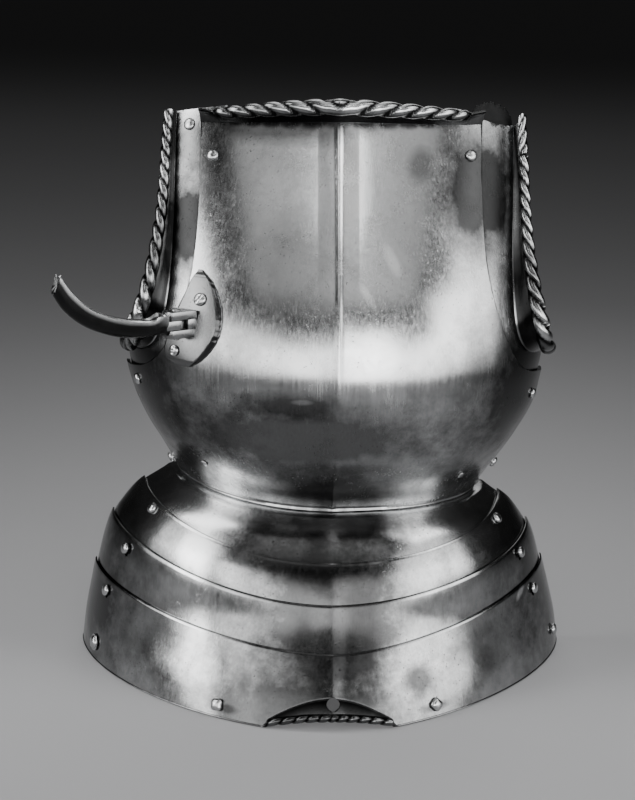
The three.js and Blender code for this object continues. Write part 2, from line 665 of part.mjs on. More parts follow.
const restArm = onPin(geometryOf([tongueEnd, tongueNeck].map((g) => solid(g))
  .reduce((a, b) => a.add(b), solid(shell(armColumns))).subtract(solid(pinHole))));

const pinHalf = CHEEK_MID + CHEEK / 2 + JOINT_GAP;
const restPin = onPin(turned([[0, pinHalf + 1.8], [2.4, pinHalf + 1.5], [3.9, pinHalf],
  [PIN_RADIUS, pinHalf], [PIN_RADIUS, -pinHalf], [3.9, -pinHalf], [2.4, -pinHalf - 1.5],
  [0, -pinHalf - 1.8]], 8));

// ---------------------------------------------------------------- rivets and screws
const HOLE_GAP = 0.5;         // round a shank and under a head
const END_GAP = 1.8;          // behind the inner end, where the plates' facets meet unevenly
const gussetStack = BREAST_WALL + GUSSET_SLIP + GUSSET_WALL;
const waistStack = BREAST_WALL + SLIP + LAME_WALL;
const lameStack = 2 * LAME_WALL + LAME_SLIP;
const screwStack = SLIP + MOON_WALL + gussetStack;
const strapStack = gussetStack + 1.0 + STRAP_WALL;
const gussetLevel = -BREAST_WALL - GUSSET_SLIP;

// Place of each fastening: form, side, position round the body and height; level of the face it
// sits on, radius of head and shank, height of head, thickness it goes through, what it pierces,
// and how far it stands off that face.
const FASTENINGS = [
  { name: "rivet_neck_right", form: chestForm, side: RIGHT, round: 0.398, z: 434, level: 0,
    head: 4.8, tall: 3.0, shank: 2.0, stack: gussetStack, through: ["breastplate", "gusset_right"] },
  { name: "rivet_neck_left", form: chestForm, side: LEFT, round: 0.408, z: 437, level: 0,
    head: 4.8, tall: 3.0, shank: 2.0, stack: strapStack,
    through: ["breastplate", "gusset_left", "strap_plate_left"] },
  { name: "rivet_gusset_lower_right", form: chestForm, side: RIGHT, round: 0.743, z: 251, level: 0,
    head: 4.6, tall: 3.0, shank: 2.0, stack: gussetStack, through: ["breastplate", "gusset_right"] },
  { name: "rivet_gusset_lower_left", form: chestForm, side: LEFT, round: 0.740, z: 242, level: 0,
    head: 4.6, tall: 3.0, shank: 2.0, stack: gussetStack, through: ["breastplate", "gusset_left"] },
  { name: "rivet_strap_right", form: chestForm, side: RIGHT, round: 0.545, z: 457,
    level: gussetLevel, head: 4.8, tall: 2.2, shank: 2.0, stack: GUSSET_WALL,
    through: ["gusset_right"] },
  { name: "rivet_waist_side_right", form: chestForm, side: RIGHT, round: 0.86, z: 173, level: 0,
    head: 4.6, tall: 3.2, shank: 2.0, stack: waistStack, stand: 1.1,
    through: ["breastplate", "waist_plate"] },
  { name: "rivet_waist_side_left", form: chestForm, side: LEFT, round: 0.86, z: 172, level: 0,
    head: 4.6, tall: 3.2, shank: 2.0, stack: waistStack, stand: 1.1,
    through: ["breastplate", "waist_plate"] },
  { name: "rivet_waist_front_right", form: chestForm, side: RIGHT, round: 0.504, z: 187, level: 0,
    head: 3.2, tall: 1.2, shank: 1.6, stack: waistStack, through: ["breastplate", "waist_plate"] },
  { name: "rivet_waist_front_left", form: chestForm, side: LEFT, round: 0.508, z: 178, level: 0,
    head: 3.2, tall: 1.2, shank: 1.6, stack: waistStack, through: ["breastplate", "waist_plate"] },
  { name: "rivet_lame_1_right", form: fauldForm, side: RIGHT, round: 0.685, z: 137,
    level: LAPS.lame1, head: 4.6, tall: 3.2, shank: 2.0, stack: lameStack,
    through: ["fauld_lame_1", "waist_plate"] },
  { name: "rivet_lame_1_left", form: fauldForm, side: LEFT, round: 0.685, z: 130,
    level: LAPS.lame1, head: 4.6, tall: 3.2, shank: 2.0, stack: lameStack,
    through: ["fauld_lame_1", "waist_plate"] },
  { name: "rivet_lame_2_right", form: fauldForm, side: RIGHT, round: 0.702, z: 103,
    level: LAPS.lame2, head: 4.8, tall: 3.0, shank: 2.0, stack: lameStack, stand: 1.7,
    through: ["fauld_lame_1"], slotted: "fauld_lame_2" },
  { name: "rivet_lame_2_left", form: fauldForm, side: LEFT, round: 0.702, z: 101,
    level: LAPS.lame2, head: 4.8, tall: 3.0, shank: 2.0, stack: lameStack, stand: 1.7,
    through: ["fauld_lame_1"], slotted: "fauld_lame_2" },
  { name: "rivet_lame_3_right", form: fauldForm, side: RIGHT, round: 0.762, z: 61,
    level: LAPS.lame3, head: 4.8, tall: 3.0, shank: 2.0, stack: lameStack, stand: 1.1,
    through: ["fauld_lame_2"], slotted: "fauld_lame_3" },
  { name: "rivet_lame_3_left", form: fauldForm, side: LEFT, round: 0.740, z: 66,
    level: LAPS.lame3, head: 4.8, tall: 3.0, shank: 2.0, stack: lameStack, stand: 1.1,
    through: ["fauld_lame_2"], slotted: "fauld_lame_3" },
  { name: "rivet_rim_right", form: fauldForm, side: RIGHT, round: 0.789, z: 13,
    level: LAPS.lame3, head: 5.6, tall: 3.4, shank: 2.2, stack: LAME_WALL, stand: 1.0,
    through: ["fauld_lame_3"] },
  { name: "rivet_rim_left", form: fauldForm, side: LEFT, round: 0.850, z: 18,
    level: LAPS.lame3, head: 5.0, tall: 3.4, shank: 2.2, stack: LAME_WALL, stand: 1.0,
    through: ["fauld_lame_3"] },
  { name: "stud_tasset_right", form: fauldForm, side: RIGHT, round: 0.328, z: 7.0,
    level: LAPS.lame3, head: 5.2, tall: 3.6, shank: 2.4, stack: LAME_WALL, stand: 1.0,
    through: ["fauld_lame_3"] },
  { name: "stud_tasset_left", form: fauldForm, side: LEFT, round: 0.320, z: 7.0,
    level: LAPS.lame3, head: 5.2, tall: 3.6, shank: 2.4, stack: LAME_WALL, stand: 1.0,
    through: ["fauld_lame_3"] },
  { name: "lance_rest_screw_upper", form: chestForm, side: RIGHT, round: 0.386, z: 327,
    level: SLIP + MOON_WALL, head: 5.2, tall: 2.6, shank: 2.4,
    stack: screwStack, through: ["breastplate", "gusset_right", "moon"] },
  { name: "lance_rest_screw_lower", form: chestForm, side: RIGHT, round: 0.478, z: 286.5,
    level: SLIP + MOON_WALL, head: 4.4, tall: 2.4, shank: 2.2,
    stack: screwStack, through: ["breastplate", "gusset_right", "moon"] },
];

// A fastening with a domed head outside and a flat riveted end inside.
function fastening(f) {
  const stand = f.stand || HOLE_GAP;
  const end = -f.stack - END_GAP;
  return turned([[0, stand + f.tall], [0.66 * f.head, stand + 0.7 * f.tall], [f.head, stand],
    [f.shank, stand], [f.shank, end], [f.shank + 1.3, end], [0, end - 1.0]], ROUND_SIDES);
}

// An upright slot through one plate, as long as the lame's travel.
function slot(f) {
  const r = f.shank + HOLE_GAP;
  const low = -TRAVEL - 0.2;
  const outline = [];
  for (let k = 0; k <= 4; k += 1) {
    const a = k * Math.PI / 4;
    outline.push(new THREE.Vector2(r * Math.cos(a), r * Math.sin(a)));
  }
  for (let k = 0; k <= 4; k += 1) {
    const a = Math.PI + k * Math.PI / 4;
    outline.push(new THREE.Vector2(r * Math.cos(a), low + r * Math.sin(a)));
  }
  return slab(new THREE.Shape(outline), 16, 0);
}

// Turns a slot's local frame so its length lies upright in the plate.
function placeUpright(geometry, point, n) {
  const up = V(0, 0, 1).addScaledVector(n, -n.z).normalize();
  const m = new THREE.Matrix4().makeBasis(up.clone().cross(n).normalize(), up, n)
    .setPosition(point);
  return geometry.applyMatrix4(m);
}

const plates = {
  breastplate,
  gusset_right: gussetRight,
  gusset_left: gussetLeft,
  waist_plate: waistPlate,
  fauld_lame_1: lame1,
  fauld_lame_2: lame2,
  fauld_lame_3: lame3,
  strap_plate_left: strapPlate,
  moon: restBracket,
};
const cutters = Object.fromEntries(Object.keys(plates).map((k) => [k, []]));
const fasteners = FASTENINGS.map((f) => {
  const point = lift(f.form, f.side, f.round, f.z, f.level);
  const n = outward(f.form, f.side, f.round, f.z);
  f.through.forEach((p) => cutters[p].push(place(drill(f.shank + HOLE_GAP, 26, HOLE_SIDES), point, n)));
  if (f.slotted) cutters[f.slotted].push(placeUpright(slot(f), point, n));
  return { name: f.name, geometry: place(fastening(f), point, n) };
});

// The round hole above the arch.
const HOLE = { round: 0.003, z: 17.6, radius: 5.2 };
const holePoint = lift(fauldForm, LEFT, HOLE.round, HOLE.z, LAPS.lame3);
cutters.fauld_lame_3.push(place(drill(HOLE.radius, 30, 8), holePoint, V(0, -1, 0)));
Object.keys(plates).forEach((k) => { plates[k] = cut(plates[k], cutters[k]); });

// ---------------------------------------------------------------- the assembly
const steel = colour(0x9a9a98, 0.32);
const dark = colour(0x6f6e6c, 0.45);
["breastplate", "gusset_right", "gusset_left", "waist_plate", "fauld_lame_1", "fauld_lame_2",
  "fauld_lame_3"].forEach((name) => add(name, plates[name], steel.clone()));
add("strap_plate_left", plates.strap_plate_left, dark.clone());
add("lance_rest_bracket", plates.moon, steel.clone());
add("lance_rest_arm", restArm, steel.clone());
add("lance_rest_pin", restPin, dark.clone());
fasteners.forEach((f) => add(f.name, f.geometry, dark.clone()));

const box = new THREE.Box3().setFromObject(group);
const middle = box.getCenter(V(0, 0, 0));
group.position.set(-middle.x, -middle.y, -box.min.z);

export default group;
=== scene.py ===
# %% [markdown]
# A steel breastplate of plate armour in Blender.
# The real object is a set of hammered steel plates lapped over each other and riveted: a globose
# main plate, two arm gussets, a waist plate, three lames of a skirt and a folding lance rest.
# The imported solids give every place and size. Here each plate gets its true smooth form, its roped
# border and its aged, polished surface. Every plate lies on one of two mathematical forms, the
# chest and the skirt, so the lesson starts with those.

# %% Load the frame
import bpy
import json
import numpy as np
from mathutils import Matrix, Vector


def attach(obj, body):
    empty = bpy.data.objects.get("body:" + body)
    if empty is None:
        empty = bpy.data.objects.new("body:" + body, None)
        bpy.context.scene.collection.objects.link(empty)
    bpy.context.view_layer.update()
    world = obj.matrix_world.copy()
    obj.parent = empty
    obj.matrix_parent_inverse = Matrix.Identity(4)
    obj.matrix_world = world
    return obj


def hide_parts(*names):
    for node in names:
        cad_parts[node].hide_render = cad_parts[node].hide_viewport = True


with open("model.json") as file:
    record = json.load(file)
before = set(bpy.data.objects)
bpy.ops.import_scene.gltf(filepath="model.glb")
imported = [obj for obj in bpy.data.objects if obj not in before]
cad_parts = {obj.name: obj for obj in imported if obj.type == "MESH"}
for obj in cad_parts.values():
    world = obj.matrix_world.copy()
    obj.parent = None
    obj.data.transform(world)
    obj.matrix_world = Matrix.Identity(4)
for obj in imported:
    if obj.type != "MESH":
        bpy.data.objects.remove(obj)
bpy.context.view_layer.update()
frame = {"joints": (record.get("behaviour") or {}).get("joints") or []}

# %% [markdown]
# Tables of named columns hold the forms, as a pattern maker keeps stations along a hull. A smooth
# curve is read through each column, so a few rows give a fair surface without any sculpting.

# %% Tables of the forms, in millimetres
RIGHT, LEFT = -1, 1
BREAST_WALL, GUSSET_WALL, LAME_WALL = 2.0, 1.6, 1.6
SLIP, LAME_SLIP, GUSSET_SLIP = 0.35, 0.7, 1.3
WAIST_Z, BLEND_Z, SIDE = 156.0, 228.0, 0.985


def table(names, *rows):
    """A dictionary of columns from rows of numbers."""
    return dict(zip(names.split(), np.array(rows, float).T))


CHEST = table("z right left depth full keel",
    (140, 131.5, 131.5, 110.0, 2.00, 1.0), (156, 131.5, 131.5, 112.0, 2.00, 1.0),
    (170, 137.5, 140.0, 120.0, 2.02, 1.0), (187, 145.5, 152.0, 132.0, 2.06, 1.1),
    (205, 155.0, 163.5, 143.0, 2.10, 1.2), (228, 164.5, 175.5, 152.5, 2.15, 1.3),
    (250, 171.0, 180.0, 157.5, 2.20, 1.3), (275, 175.0, 184.0, 158.5, 2.20, 1.4),
    (305, 176.0, 184.5, 152.5, 2.20, 1.5), (335, 174.0, 182.5, 141.5, 2.20, 1.7),
    (365, 170.0, 178.5, 126.0, 2.22, 2.0), (400, 163.5, 172.5, 107.0, 2.26, 2.4),
    (430, 157.5, 166.5, 91.5, 2.30, 2.8), (462, 150.5, 160.5, 76.0, 2.35, 3.0),
    (490, 145.0, 155.0, 66.0, 2.35, 3.0))
FLARE = table("drop side front",
    (-14, 0.0, 0.0), (0, 0.0, 0.0), (6, 7.5, 5.5), (12, 17.0, 12.0), (18, 26.0, 17.5),
    (24, 32.5, 22.0), (34, 40.5, 28.5), (46, 48.5, 35.0), (62, 54.5, 41.5), (84, 60.0, 49.0),
    (110, 65.0, 62.0), (135, 69.5, 74.5), (156, 72.0, 84.5), (170, 73.5, 91.0))
EDGES = {"crease": (155.0, 9.0, -4.0), "lame1": (118.5, 28.0, 19.0),
         "lame2": (88.0, 29.0, 23.0), "lame3": (55.0, 18.0, 24.0)}
BREAST = table("row mid right left reach",
    (0, 155.35, 164.35, 151.35, 0.985), (1, 172, 182, 176, 0.985), (2, 191, 205, 201, 0.985),
    (3, 212, 229, 227, 0.985), (4, 232, 252, 250, 0.985), (5, 247, 257, 255, 0.88),
    (6, 262, 261, 260, 0.77), (7, 275, 267, 265, 0.665), (8, 288, 279, 275, 0.572),
    (9, 308, 302, 300, 0.497), (10, 332, 330, 330, 0.450), (11, 359, 358, 358, 0.431),
    (12, 386, 386, 386, 0.431), (13, 412, 412, 412, 0.441), (14, 438, 437, 438, 0.455),
    (15, 462.5, 459.5, 461.5, 0.475))
NECK = table("at out rise rope",
    (0.00, 12.0, 14.0, 6.2), (0.30, 11.0, 12.3, 5.6), (0.60, 9.0, 10.0, 4.7),
    (0.80, 7.0, 8.6, 4.0), (0.86, 6.0, 9.5, 1.3), (1.00, 4.5, 11.5, 1.3))
GUSSET = table("row z round more hiddenZ hidden flare rope",
    (0, 466, 0.668, 0.032, 473, 0.370, 7.5, 3.9), (1, 430, 0.622, 0.030, 430, 0.352, 9.0, 4.1),
    (2, 398, 0.585, 0.026, 400, 0.345, 10.5, 4.4), (3, 372, 0.562, 0.018, 372, 0.345, 13.0, 4.8),
    (4, 345, 0.550, 0.012, 344, 0.352, 16.0, 5.4), (5, 318, 0.555, 0.006, 312, 0.380, 19.5, 6.0),
    (6, 300, 0.578, 0.000, 284, 0.425, 21.0, 6.3), (7, 287, 0.620, 0.000, 258, 0.490, 19.0, 6.3),
    (8, 279, 0.690, 0.000, 240, 0.600, 14.5, 6.0), (9, 275, 0.790, 0.000, 229, 0.740, 9.5, 5.2),
    (10, 273, 0.890, 0.000, 226, 0.870, 6.0, 4.4), (11, 272, 0.985, 0.000, 225, 0.985, 4.0, 3.6))
GUSSET_LEAN, TORN_DIP = np.radians(62), 9.0
print("stations of the chest:", len(CHEST["z"]), "of the skirt:", len(FLARE["drop"]))


# %% Reading the tables
def smooth(t):
    """Rises from 0 to 1 with level ends: three t squared less two t cubed."""
    t = np.clip(t, 0, 1)
    return t * t * (3 - 2 * t)


def read(columns, key, at, name):
    """A cubic curve through one column, with its slope at a row set by the two rows beside it."""
    k, v = columns[key], columns[name]
    if k[0] > k[-1]:
        k, v = k[::-1], v[::-1]
    n = len(k)
    a = np.clip(np.searchsorted(k, at, side="right") - 1, 0, n - 2)
    b, before, after = a + 1, np.maximum(a - 1, 0), np.minimum(a + 2, n - 1)
    step = k[b] - k[a]
    t = np.clip((at - k[a]) / step, 0, 1)
    slope_a = (v[b] - v[before]) / (k[b] - k[before]) * step
    slope_b = (v[after] - v[a]) / (k[after] - k[a]) * step
    t2, t3 = t * t, t * t * t
    return (v[a] * (2 * t3 - 3 * t2 + 1) + slope_a * (t3 - 2 * t2 + t)
            + v[b] * (3 * t2 - 2 * t3) + slope_b * (t3 - t2))


def read_side(columns, key, at, side):
    """The right or the left column of a table, by side."""
    return np.where(side < 0, read(columns, key, at, "right"), read(columns, key, at, "left"))


def stack(x, y, z):
    """Three arrays of one shape as an array of points."""
    return np.stack(np.broadcast_arrays(x, y, z), -1).astype(float)


def unit(v):
    """Vectors brought to length 1."""
    return v / np.linalg.norm(v, axis=-1, keepdims=True)


print("chest depth at 275 mm:", float(read(CHEST, "z", 275.0, "depth")))

# %% [markdown]
# A horizontal section of the body is a superellipse with a low keel along the middle: rounder than
# an ellipse at the chest, plain at the waist. The two sides differ by a few millimetres, as on a
# plate raised by hand. "round" runs from 0 at the ridge to 1 at the side.


# %% The chest form and the skirt form
def edge_height(name, side, turn):
    """Height of an edge that runs round the body: its height at the ridge plus an eased rise."""
    z, right, left = EDGES[name]
    return z + np.where(side < 0, right, left) * smooth((turn - 0.05) / 0.85)


def section(side, turn, half, depth, full, keel):
    """Superellipse: x grows as sine to the power 2/full, y as cosine, plus a tent at the ridge."""
    a = np.clip(turn, 0, 1) * np.pi / 2
    x = half * np.sin(a) ** (2 / full)
    y = depth * np.cos(a) ** (2 / full)
    ridge = keel * np.maximum(0, 1 - x / 16) ** 1.2
    return side * x, -(y + ridge)


def chest_form(side, turn, z):
    """The chest at a height; below the chest the heights follow the slanting waist crease."""
    crease = edge_height("crease", side, turn)
    low = WAIST_Z + (z - crease) * (BLEND_Z - WAIST_Z) / (BLEND_Z - crease)
    at = np.where(z < BLEND_Z, low, z)
    rest = [read(CHEST, "z", at, name) for name in ("depth", "full", "keel")]
    return stack(*section(side, turn, read_side(CHEST, "z", at, side), *rest), z)


def skirt_form(side, turn, z):
    """The skirt at a height: the waist's section grown by the flare read at the drop below it."""
    drop = edge_height("crease", side, turn) - z
    growth = np.where(side < 0, 1.03, 0.93 + 0.07 * smooth((drop - 60) / 70))
    half = 131.5 + read(FLARE, "drop", drop, "side") * growth
    depth = 112.0 + read(FLARE, "drop", drop, "front")
    lean = np.where(side < 0, 0.34, 0.42)
    x, y = section(side, turn, half, depth, 2.0 - lean * smooth(drop / 130), 0.0)
    return stack(x, y - 0.5 - 0.5 * np.cos(np.pi * np.minimum(1, np.abs(x) / 26)), z)


print("chest's front at 275 mm:", chest_form(LEFT, 0.0, 275.0).round(1))


# %% Moving out from a form
def outward(form, side, turn, z):
    """Unit normal: the cross product of small steps round the body and up it."""
    turn = np.asarray(turn, float)
    across = (form(side, np.minimum(0.996, turn + 0.012), z)
              - form(side, np.maximum(0.004, turn - 0.012), z))
    up = form(side, turn, z + 1) - form(side, turn, z - 1)
    n = np.cross(across, up) * np.asarray(side, float)[..., None]
    n[..., 0] = np.where(turn < 0.02, 0, n[..., 0])
    return unit(n)


def lift(form, side, turn, z, by):
    """A point of a form moved out along its normal."""
    by = np.asarray(by, float)[..., None]
    return form(side, turn, z) + outward(form, side, turn, z) * by


def lift_level(form, side, turn, z, by):
    """The same, with the moved point brought back to the height z."""
    at = np.array(z, float)
    for _ in range(4):
        at = at + z - lift(form, side, turn, at, by)[..., 2]
    return lift(form, side, turn, at, by)


print("outward at the middle of the left chest:", outward(chest_form, LEFT, 0.5, 275.0).round(2))

# %% [markdown]
# The solids' frame is centred under the whole object, while these forms are centred on the ridge.
# The hinge of the lance rest is a known point of both, so it ties one to the other.

# %% Tie the forms to the frame
REST_TURN, REST_Z, PIN_ALONG, ARM_TURN = 0.415, 310.0, 16.0, np.radians(-24)


def turned_about_z(v, angle):
    """A level vector turned about the upright axis."""
    c, s = np.cos(angle), np.sin(angle)
    return np.array([v[0] * c - v[1] * s, v[0] * s + v[1] * c, 0.0])


rest_normal = outward(chest_form, RIGHT, REST_TURN, REST_Z)
rest_normal = unit(rest_normal * [1, 1, 0])
arm_line = turned_about_z(rest_normal, ARM_TURN)
pin_point = chest_form(RIGHT, REST_TURN, REST_Z) + arm_line * PIN_ALONG
fold = next(j for j in frame["joints"] if j["name"] == "lance_rest_fold")
SHIFT = np.array(fold["pos_m"]) * 1000 - pin_point
SHIFT[2] = 0.0
print("forms to frame, mm:", SHIFT.round(2))

# %% [markdown]
# Every plate is one closed mesh. Its grid has columns across the body; each column is a loop that
# goes up the outer face, round the upper edge, down the inner face and round the lower edge. One
# routine turns such a grid into faces, so no plate needs modelling by hand.


# %% Meshes from grids
def put_mesh(name, points, faces, sharp=38.0):
    """A mesh object from points in millimetres and arrays of faces, turned the right way out."""
    points = (np.asarray(points, float).reshape(-1, 3) + SHIFT) * 0.001
    flux = 0.0
    for f in faces:
        a = points[f[:, 0]]
        for k in range(1, f.shape[1] - 1):
            flux += np.einsum("ij,ij", a, np.cross(points[f[:, k]], points[f[:, k + 1]]))
    if flux < 0:
        faces = [f[:, ::-1] for f in faces]
    sizes = np.concatenate([np.full(len(f), f.shape[1]) for f in faces])
    corners = np.concatenate([f.ravel() for f in faces])
    mesh = bpy.data.meshes.new(name)
    mesh.vertices.add(len(points))
    mesh.vertices.foreach_set("co", points.astype(np.float32).ravel())
    mesh.loops.add(len(corners))
    mesh.loops.foreach_set("vertex_index", corners.astype(np.int32))
    mesh.polygons.add(len(sizes))
    starts = np.concatenate([[0], np.cumsum(sizes)[:-1]]).astype(np.int32)
    mesh.polygons.foreach_set("loop_start", starts)
    mesh.update(calc_edges=True)
    mesh.validate()
    mesh.shade_smooth()
    mesh.set_sharp_from_angle(angle=np.radians(sharp))
    piece = bpy.data.objects.new(name, mesh)
    bpy.context.scene.collection.objects.link(piece)
    return piece


def grid_faces(columns, size, offset=0):
    """Quads of a grid whose second direction closes on itself."""
    i, j = np.meshgrid(np.arange(columns - 1), np.arange(size), indexing="ij")
    k = (j + 1) % size
    quads = np.stack([i * size + j, (i + 1) * size + j, (i + 1) * size + k, i * size + k], -1)
    return quads.reshape(-1, 4) + offset


def capped_faces(rings, size):
    """Faces of rings of points, closed by a tip that comes before them and one that comes after."""
    k, last = np.arange(size), 1 + (rings - 1) * size
    return [grid_faces(rings, size, 1),
            np.stack([0 * k, 1 + k, 1 + (k + 1) % size], 1),
            np.stack([0 * k + last + size, last + (k + 1) % size, last + k], 1)]


def circle(count, start=0.0):
    """Angles evenly round a circle, the first one a share of a step on."""
    return 2 * np.pi * (np.arange(count) + start) / count


def mark(piece, name, values):
    """Stores one number for each point, for a material to read."""
    layer = piece.data.attributes.new(name, "FLOAT", "POINT")
    layer.data.foreach_set("value", np.asarray(values, np.float32).ravel())


print("faces of a closed ring of 4 columns and 6 rows:", len(grid_faces(4, 6)))


# %% Plates from two faces
def round_edge(first, last, away, count=3):
    """Points of a half circle from first to last, bulging along away."""
    middle, half = (first + last) / 2, (first - last) / 2
    reach = np.linalg.norm(half, axis=-1, keepdims=True)
    angle = np.pi * np.arange(1, count + 1) / (count + 1)
    return (middle[:, None] + half[:, None] * np.cos(angle)[None, :, None]
            + (away * reach)[:, None] * np.sin(angle)[None, :, None])


def plate(name, outer, inner, upper=None, sharp=38.0):
    """Closed plate from outer and inner points (columns, rows); upper is the rope or edge above."""
    low = round_edge(inner[:, 0], outer[:, 0], unit(outer[:, 0] - outer[:, 1]))
    if upper is None:
        upper = round_edge(outer[:, -1], inner[:, -1], unit(outer[:, -1] - outer[:, -2]))
    loop = np.concatenate([outer, upper, inner[:, ::-1], low], axis=1)
    columns, size = loop.shape[:2]
    rows, far = outer.shape[1], inner.shape[1]
    faces = [grid_faces(columns, size)]
    for end in (0, columns - 1):
        faces.append(cap_faces(size, rows, upper.shape[1], far, end * size, end > 0))
    return put_mesh(name, loop, faces, sharp), loop


def cap_faces(size, rows, ring, far, base, flip):
    """Triangles that close a plate's end: a strip between the two faces, a fan at each edge."""
    out = list(range(rows))
    back = [rows + ring + far - 1 - round(j * (far - 1) / (rows - 1)) for j in range(rows)]
    tris = []
    for j in range(rows - 1):
        a, b, c, d = out[j], out[j + 1], back[j + 1], back[j]
        tris.append((a, b, c))
        step = list(range(c, d + 1))
        tris += [(a, q, r) for q, r in zip(step[:-1], step[1:])]
    tip = [rows - 1] + list(range(rows, rows + ring)) + [back[-1]]
    tris += [(tip[0], q, r) for q, r in zip(tip[1:-1], tip[2:])]
    low = [back[0]] + list(range(rows + ring + far, size)) + [0]
    tris += [(low[-1], q, r) for q, r in zip(low[:-2], low[1:-1])]
    tris = np.array(tris) + base
    return tris[:, ::-1] if flip else tris


print("triangles of a small end cap:", len(cap_faces(16, 5, 3, 5, 0, False)))

# %% [markdown]
# Plate raised with a hammer is never quite even, and a flat reflection would give a computer's work
# away. Noise in the material could only pretend to bend it, so the points themselves move, by a
# tenth of a millimetre. The roped edges are real relief too: on the real object a file cuts
# slanting lines across the rolled border and rounds the strands between them.

# %% Slight unevenness of hand-raised plate
rng = np.random.default_rng(1520)
WAVES = unit(rng.normal(size=(14, 3))) * (2 * np.pi / rng.uniform(38, 120, 14))[:, None]
PHASES = rng.uniform(0, 2 * np.pi, 14)


def planish(points, height):
    """Hammer unevenness: a sum of long low waves in random directions, scaled to a height."""
    return height * np.cos(points @ WAVES.T + PHASES).sum(-1) / 3.7


print("unevenness at one point, mm:", float(planish(np.array([0.0, -150, 250]), 0.12)))


# %% Roped edges
def strand_profile(phase):
    """Height across one strand, 0 to 1: a rounded lobe between two fine incised lines."""
    p = np.mod(phase, 1.0)
    lobe = np.sin(np.pi * p) ** 0.7
    lines = np.exp(-((p - 0.17) / 0.035) ** 2) + np.exp(-((p - 0.06) / 0.05) ** 2)
    return np.clip(lobe - 0.55 * lines, 0, 1)


def rope(centre, back, cross, radius, wall, count, phase, lean, relief, low=0.5):
    """Roped edge: rings round a centre line whose radius rises and falls with the strands. The
    strand's phase grows along the rope and round the ring, which twists it."""
    gap = np.arcsin(np.minimum(0.8, wall / 2 / radius))[:, None]
    k = np.linspace(0, 1, count)[None, :]
    turn = gap + (2 * np.pi - 2 * gap) * k
    high = strand_profile(phase[:, None] + lean * turn / (2 * np.pi))
    ease = smooth(6 * k) * smooth(6 * (1 - k))
    r = radius[:, None] * (1 + relief[:, None] * ease * (high - 0.72) * 2)
    ring = (centre[:, None] + back[:, None] * (r * np.cos(turn))[..., None]
            + cross[:, None] * (r * np.sin(turn))[..., None])
    # Painted shade: the ring's colour number is darker on its lower side towards the root and in the
    # grooves between strands.
    shade = smooth((turn - low) / 1.3) * smooth((2 * np.pi - turn) / 0.8)
    return ring, (1 - (1 - high) * ease * (relief[:, None] > 0.01)) * (0.10 + 0.90 * shade)


print("height across a strand:", strand_profile(np.linspace(0, 1, 6)).round(2))

# %% [markdown]
# All plates share a few steps: columns counted from side to side, a border that turns out in a
# curve, and a number for each point by which the steel's colour is darkened as painted shade.

# %% Helpers for plates that run round the body
BREAST_COLUMNS, BAND_COLUMNS = 210, 120
HAMMER_BREAST, HAMMER_GUSSET, HAMMER_BAND, HAMMER_RIM = 0.10, 0.08, 0.06, 0.05


def mirrored(count):
    """Places of the columns from one side to the other, -1 to 1."""
    return np.linspace(-1, 1, 2 * count + 1)


def sides_of(u):
    """The side each column is on."""
    return np.where(u < 0, RIGHT, LEFT)


def bezier(a, b, c, t):
    """A curve from a to c that leans towards b."""
    return a * (1 - t) ** 2 + b * 2 * t * (1 - t) + c * t ** 2


def hammered(form, side, turn, z, by, height):
    """Points of a form at a level, moved along the normal by a share of the unevenness."""
    points = lift(form, side, turn, z, by)
    return points + outward(form, side, turn, z) * planish(points, height)[..., None]


def border(root, bend, centre, count, beside, facing, wall):
    """A turned-out border: Bezier curves from root to centre, half a wall to each side of them, and
    the direction from the rope's centre back into the border."""
    t = np.linspace(0, 1, count)[None, 1:-1, None]
    middle = bezier(root[:, None], bend[:, None], centre[:, None], t)
    across = unit(np.cross(beside[:, None], unit(np.gradient(middle, axis=1))))
    across = across * np.sign((across * facing[:, None]).sum(-1, keepdims=True))
    return middle + across * wall / 2, middle - across * wall / 2, unit(middle[:, -1] - centre)


def mark_painted_shade(piece, loop, *runs):
    """Stores painted shade for each point of a plate's loop: 1, apart from runs of its rows that are
    given as first row, end row and values. A lower number darkens the colour there as painted shade."""
    crest = np.ones(loop.shape[:2])
    for first, end, values in runs:
        crest[:, first:end] = values
    mark(piece, "crest", crest)


print("columns of the main plate:", len(mirrored(BREAST_COLUMNS)))

# %% [markdown]
# The main plate is raised from one sheet into a deep bowl, with a crisp medial ridge. Its neck
# edge is turned out and rolled over a wire, then filed into a rope. It could be a subdivided box
# pushed into shape, but a grid on the chest form keeps the outline, the armholes and the ridge
# exact, and the roped border can follow the same columns.

# %% Main plate
RIDGE_HEIGHT, RIDGE_WIDTH = 0.7, 0.011
NECK_ROPE_END, NECK_LEAN, NECK_SHADE = 0.86, -2.1, 1.5


def breast_faces(u, s, level):
    """Points of the main plate on the chest form at a level, for row numbers s."""
    side, r = sides_of(u)[:, None], np.abs(u)[:, None]
    mid, reach = read(BREAST, "row", s, "mid"), read(BREAST, "row", s, "reach")
    z = mid + (read_side(BREAST, "row", s, side) - mid) * r ** 1.5
    first = np.where(side < 0, BREAST["right"][0], BREAST["left"][0]) - BREAST["mid"][0]
    start = BREAST["mid"][0] + first * r ** 1.5
    z = z + (edge_height("crease", side, r * SIDE) + SLIP - start) * np.maximum(0, 1 - s)
    side, turn, z = np.broadcast_arrays(side, r * reach, z)
    ridge = RIDGE_HEIGHT * np.exp(-(r / RIDGE_WIDTH) ** 2) if level == 0 else 0.0 * r
    points = lift(chest_form, side, turn, z, np.full(z.shape, level) + ridge)
    n = outward(chest_form, side, turn, z)
    return points + n * planish(points, HAMMER_BREAST)[..., None], n


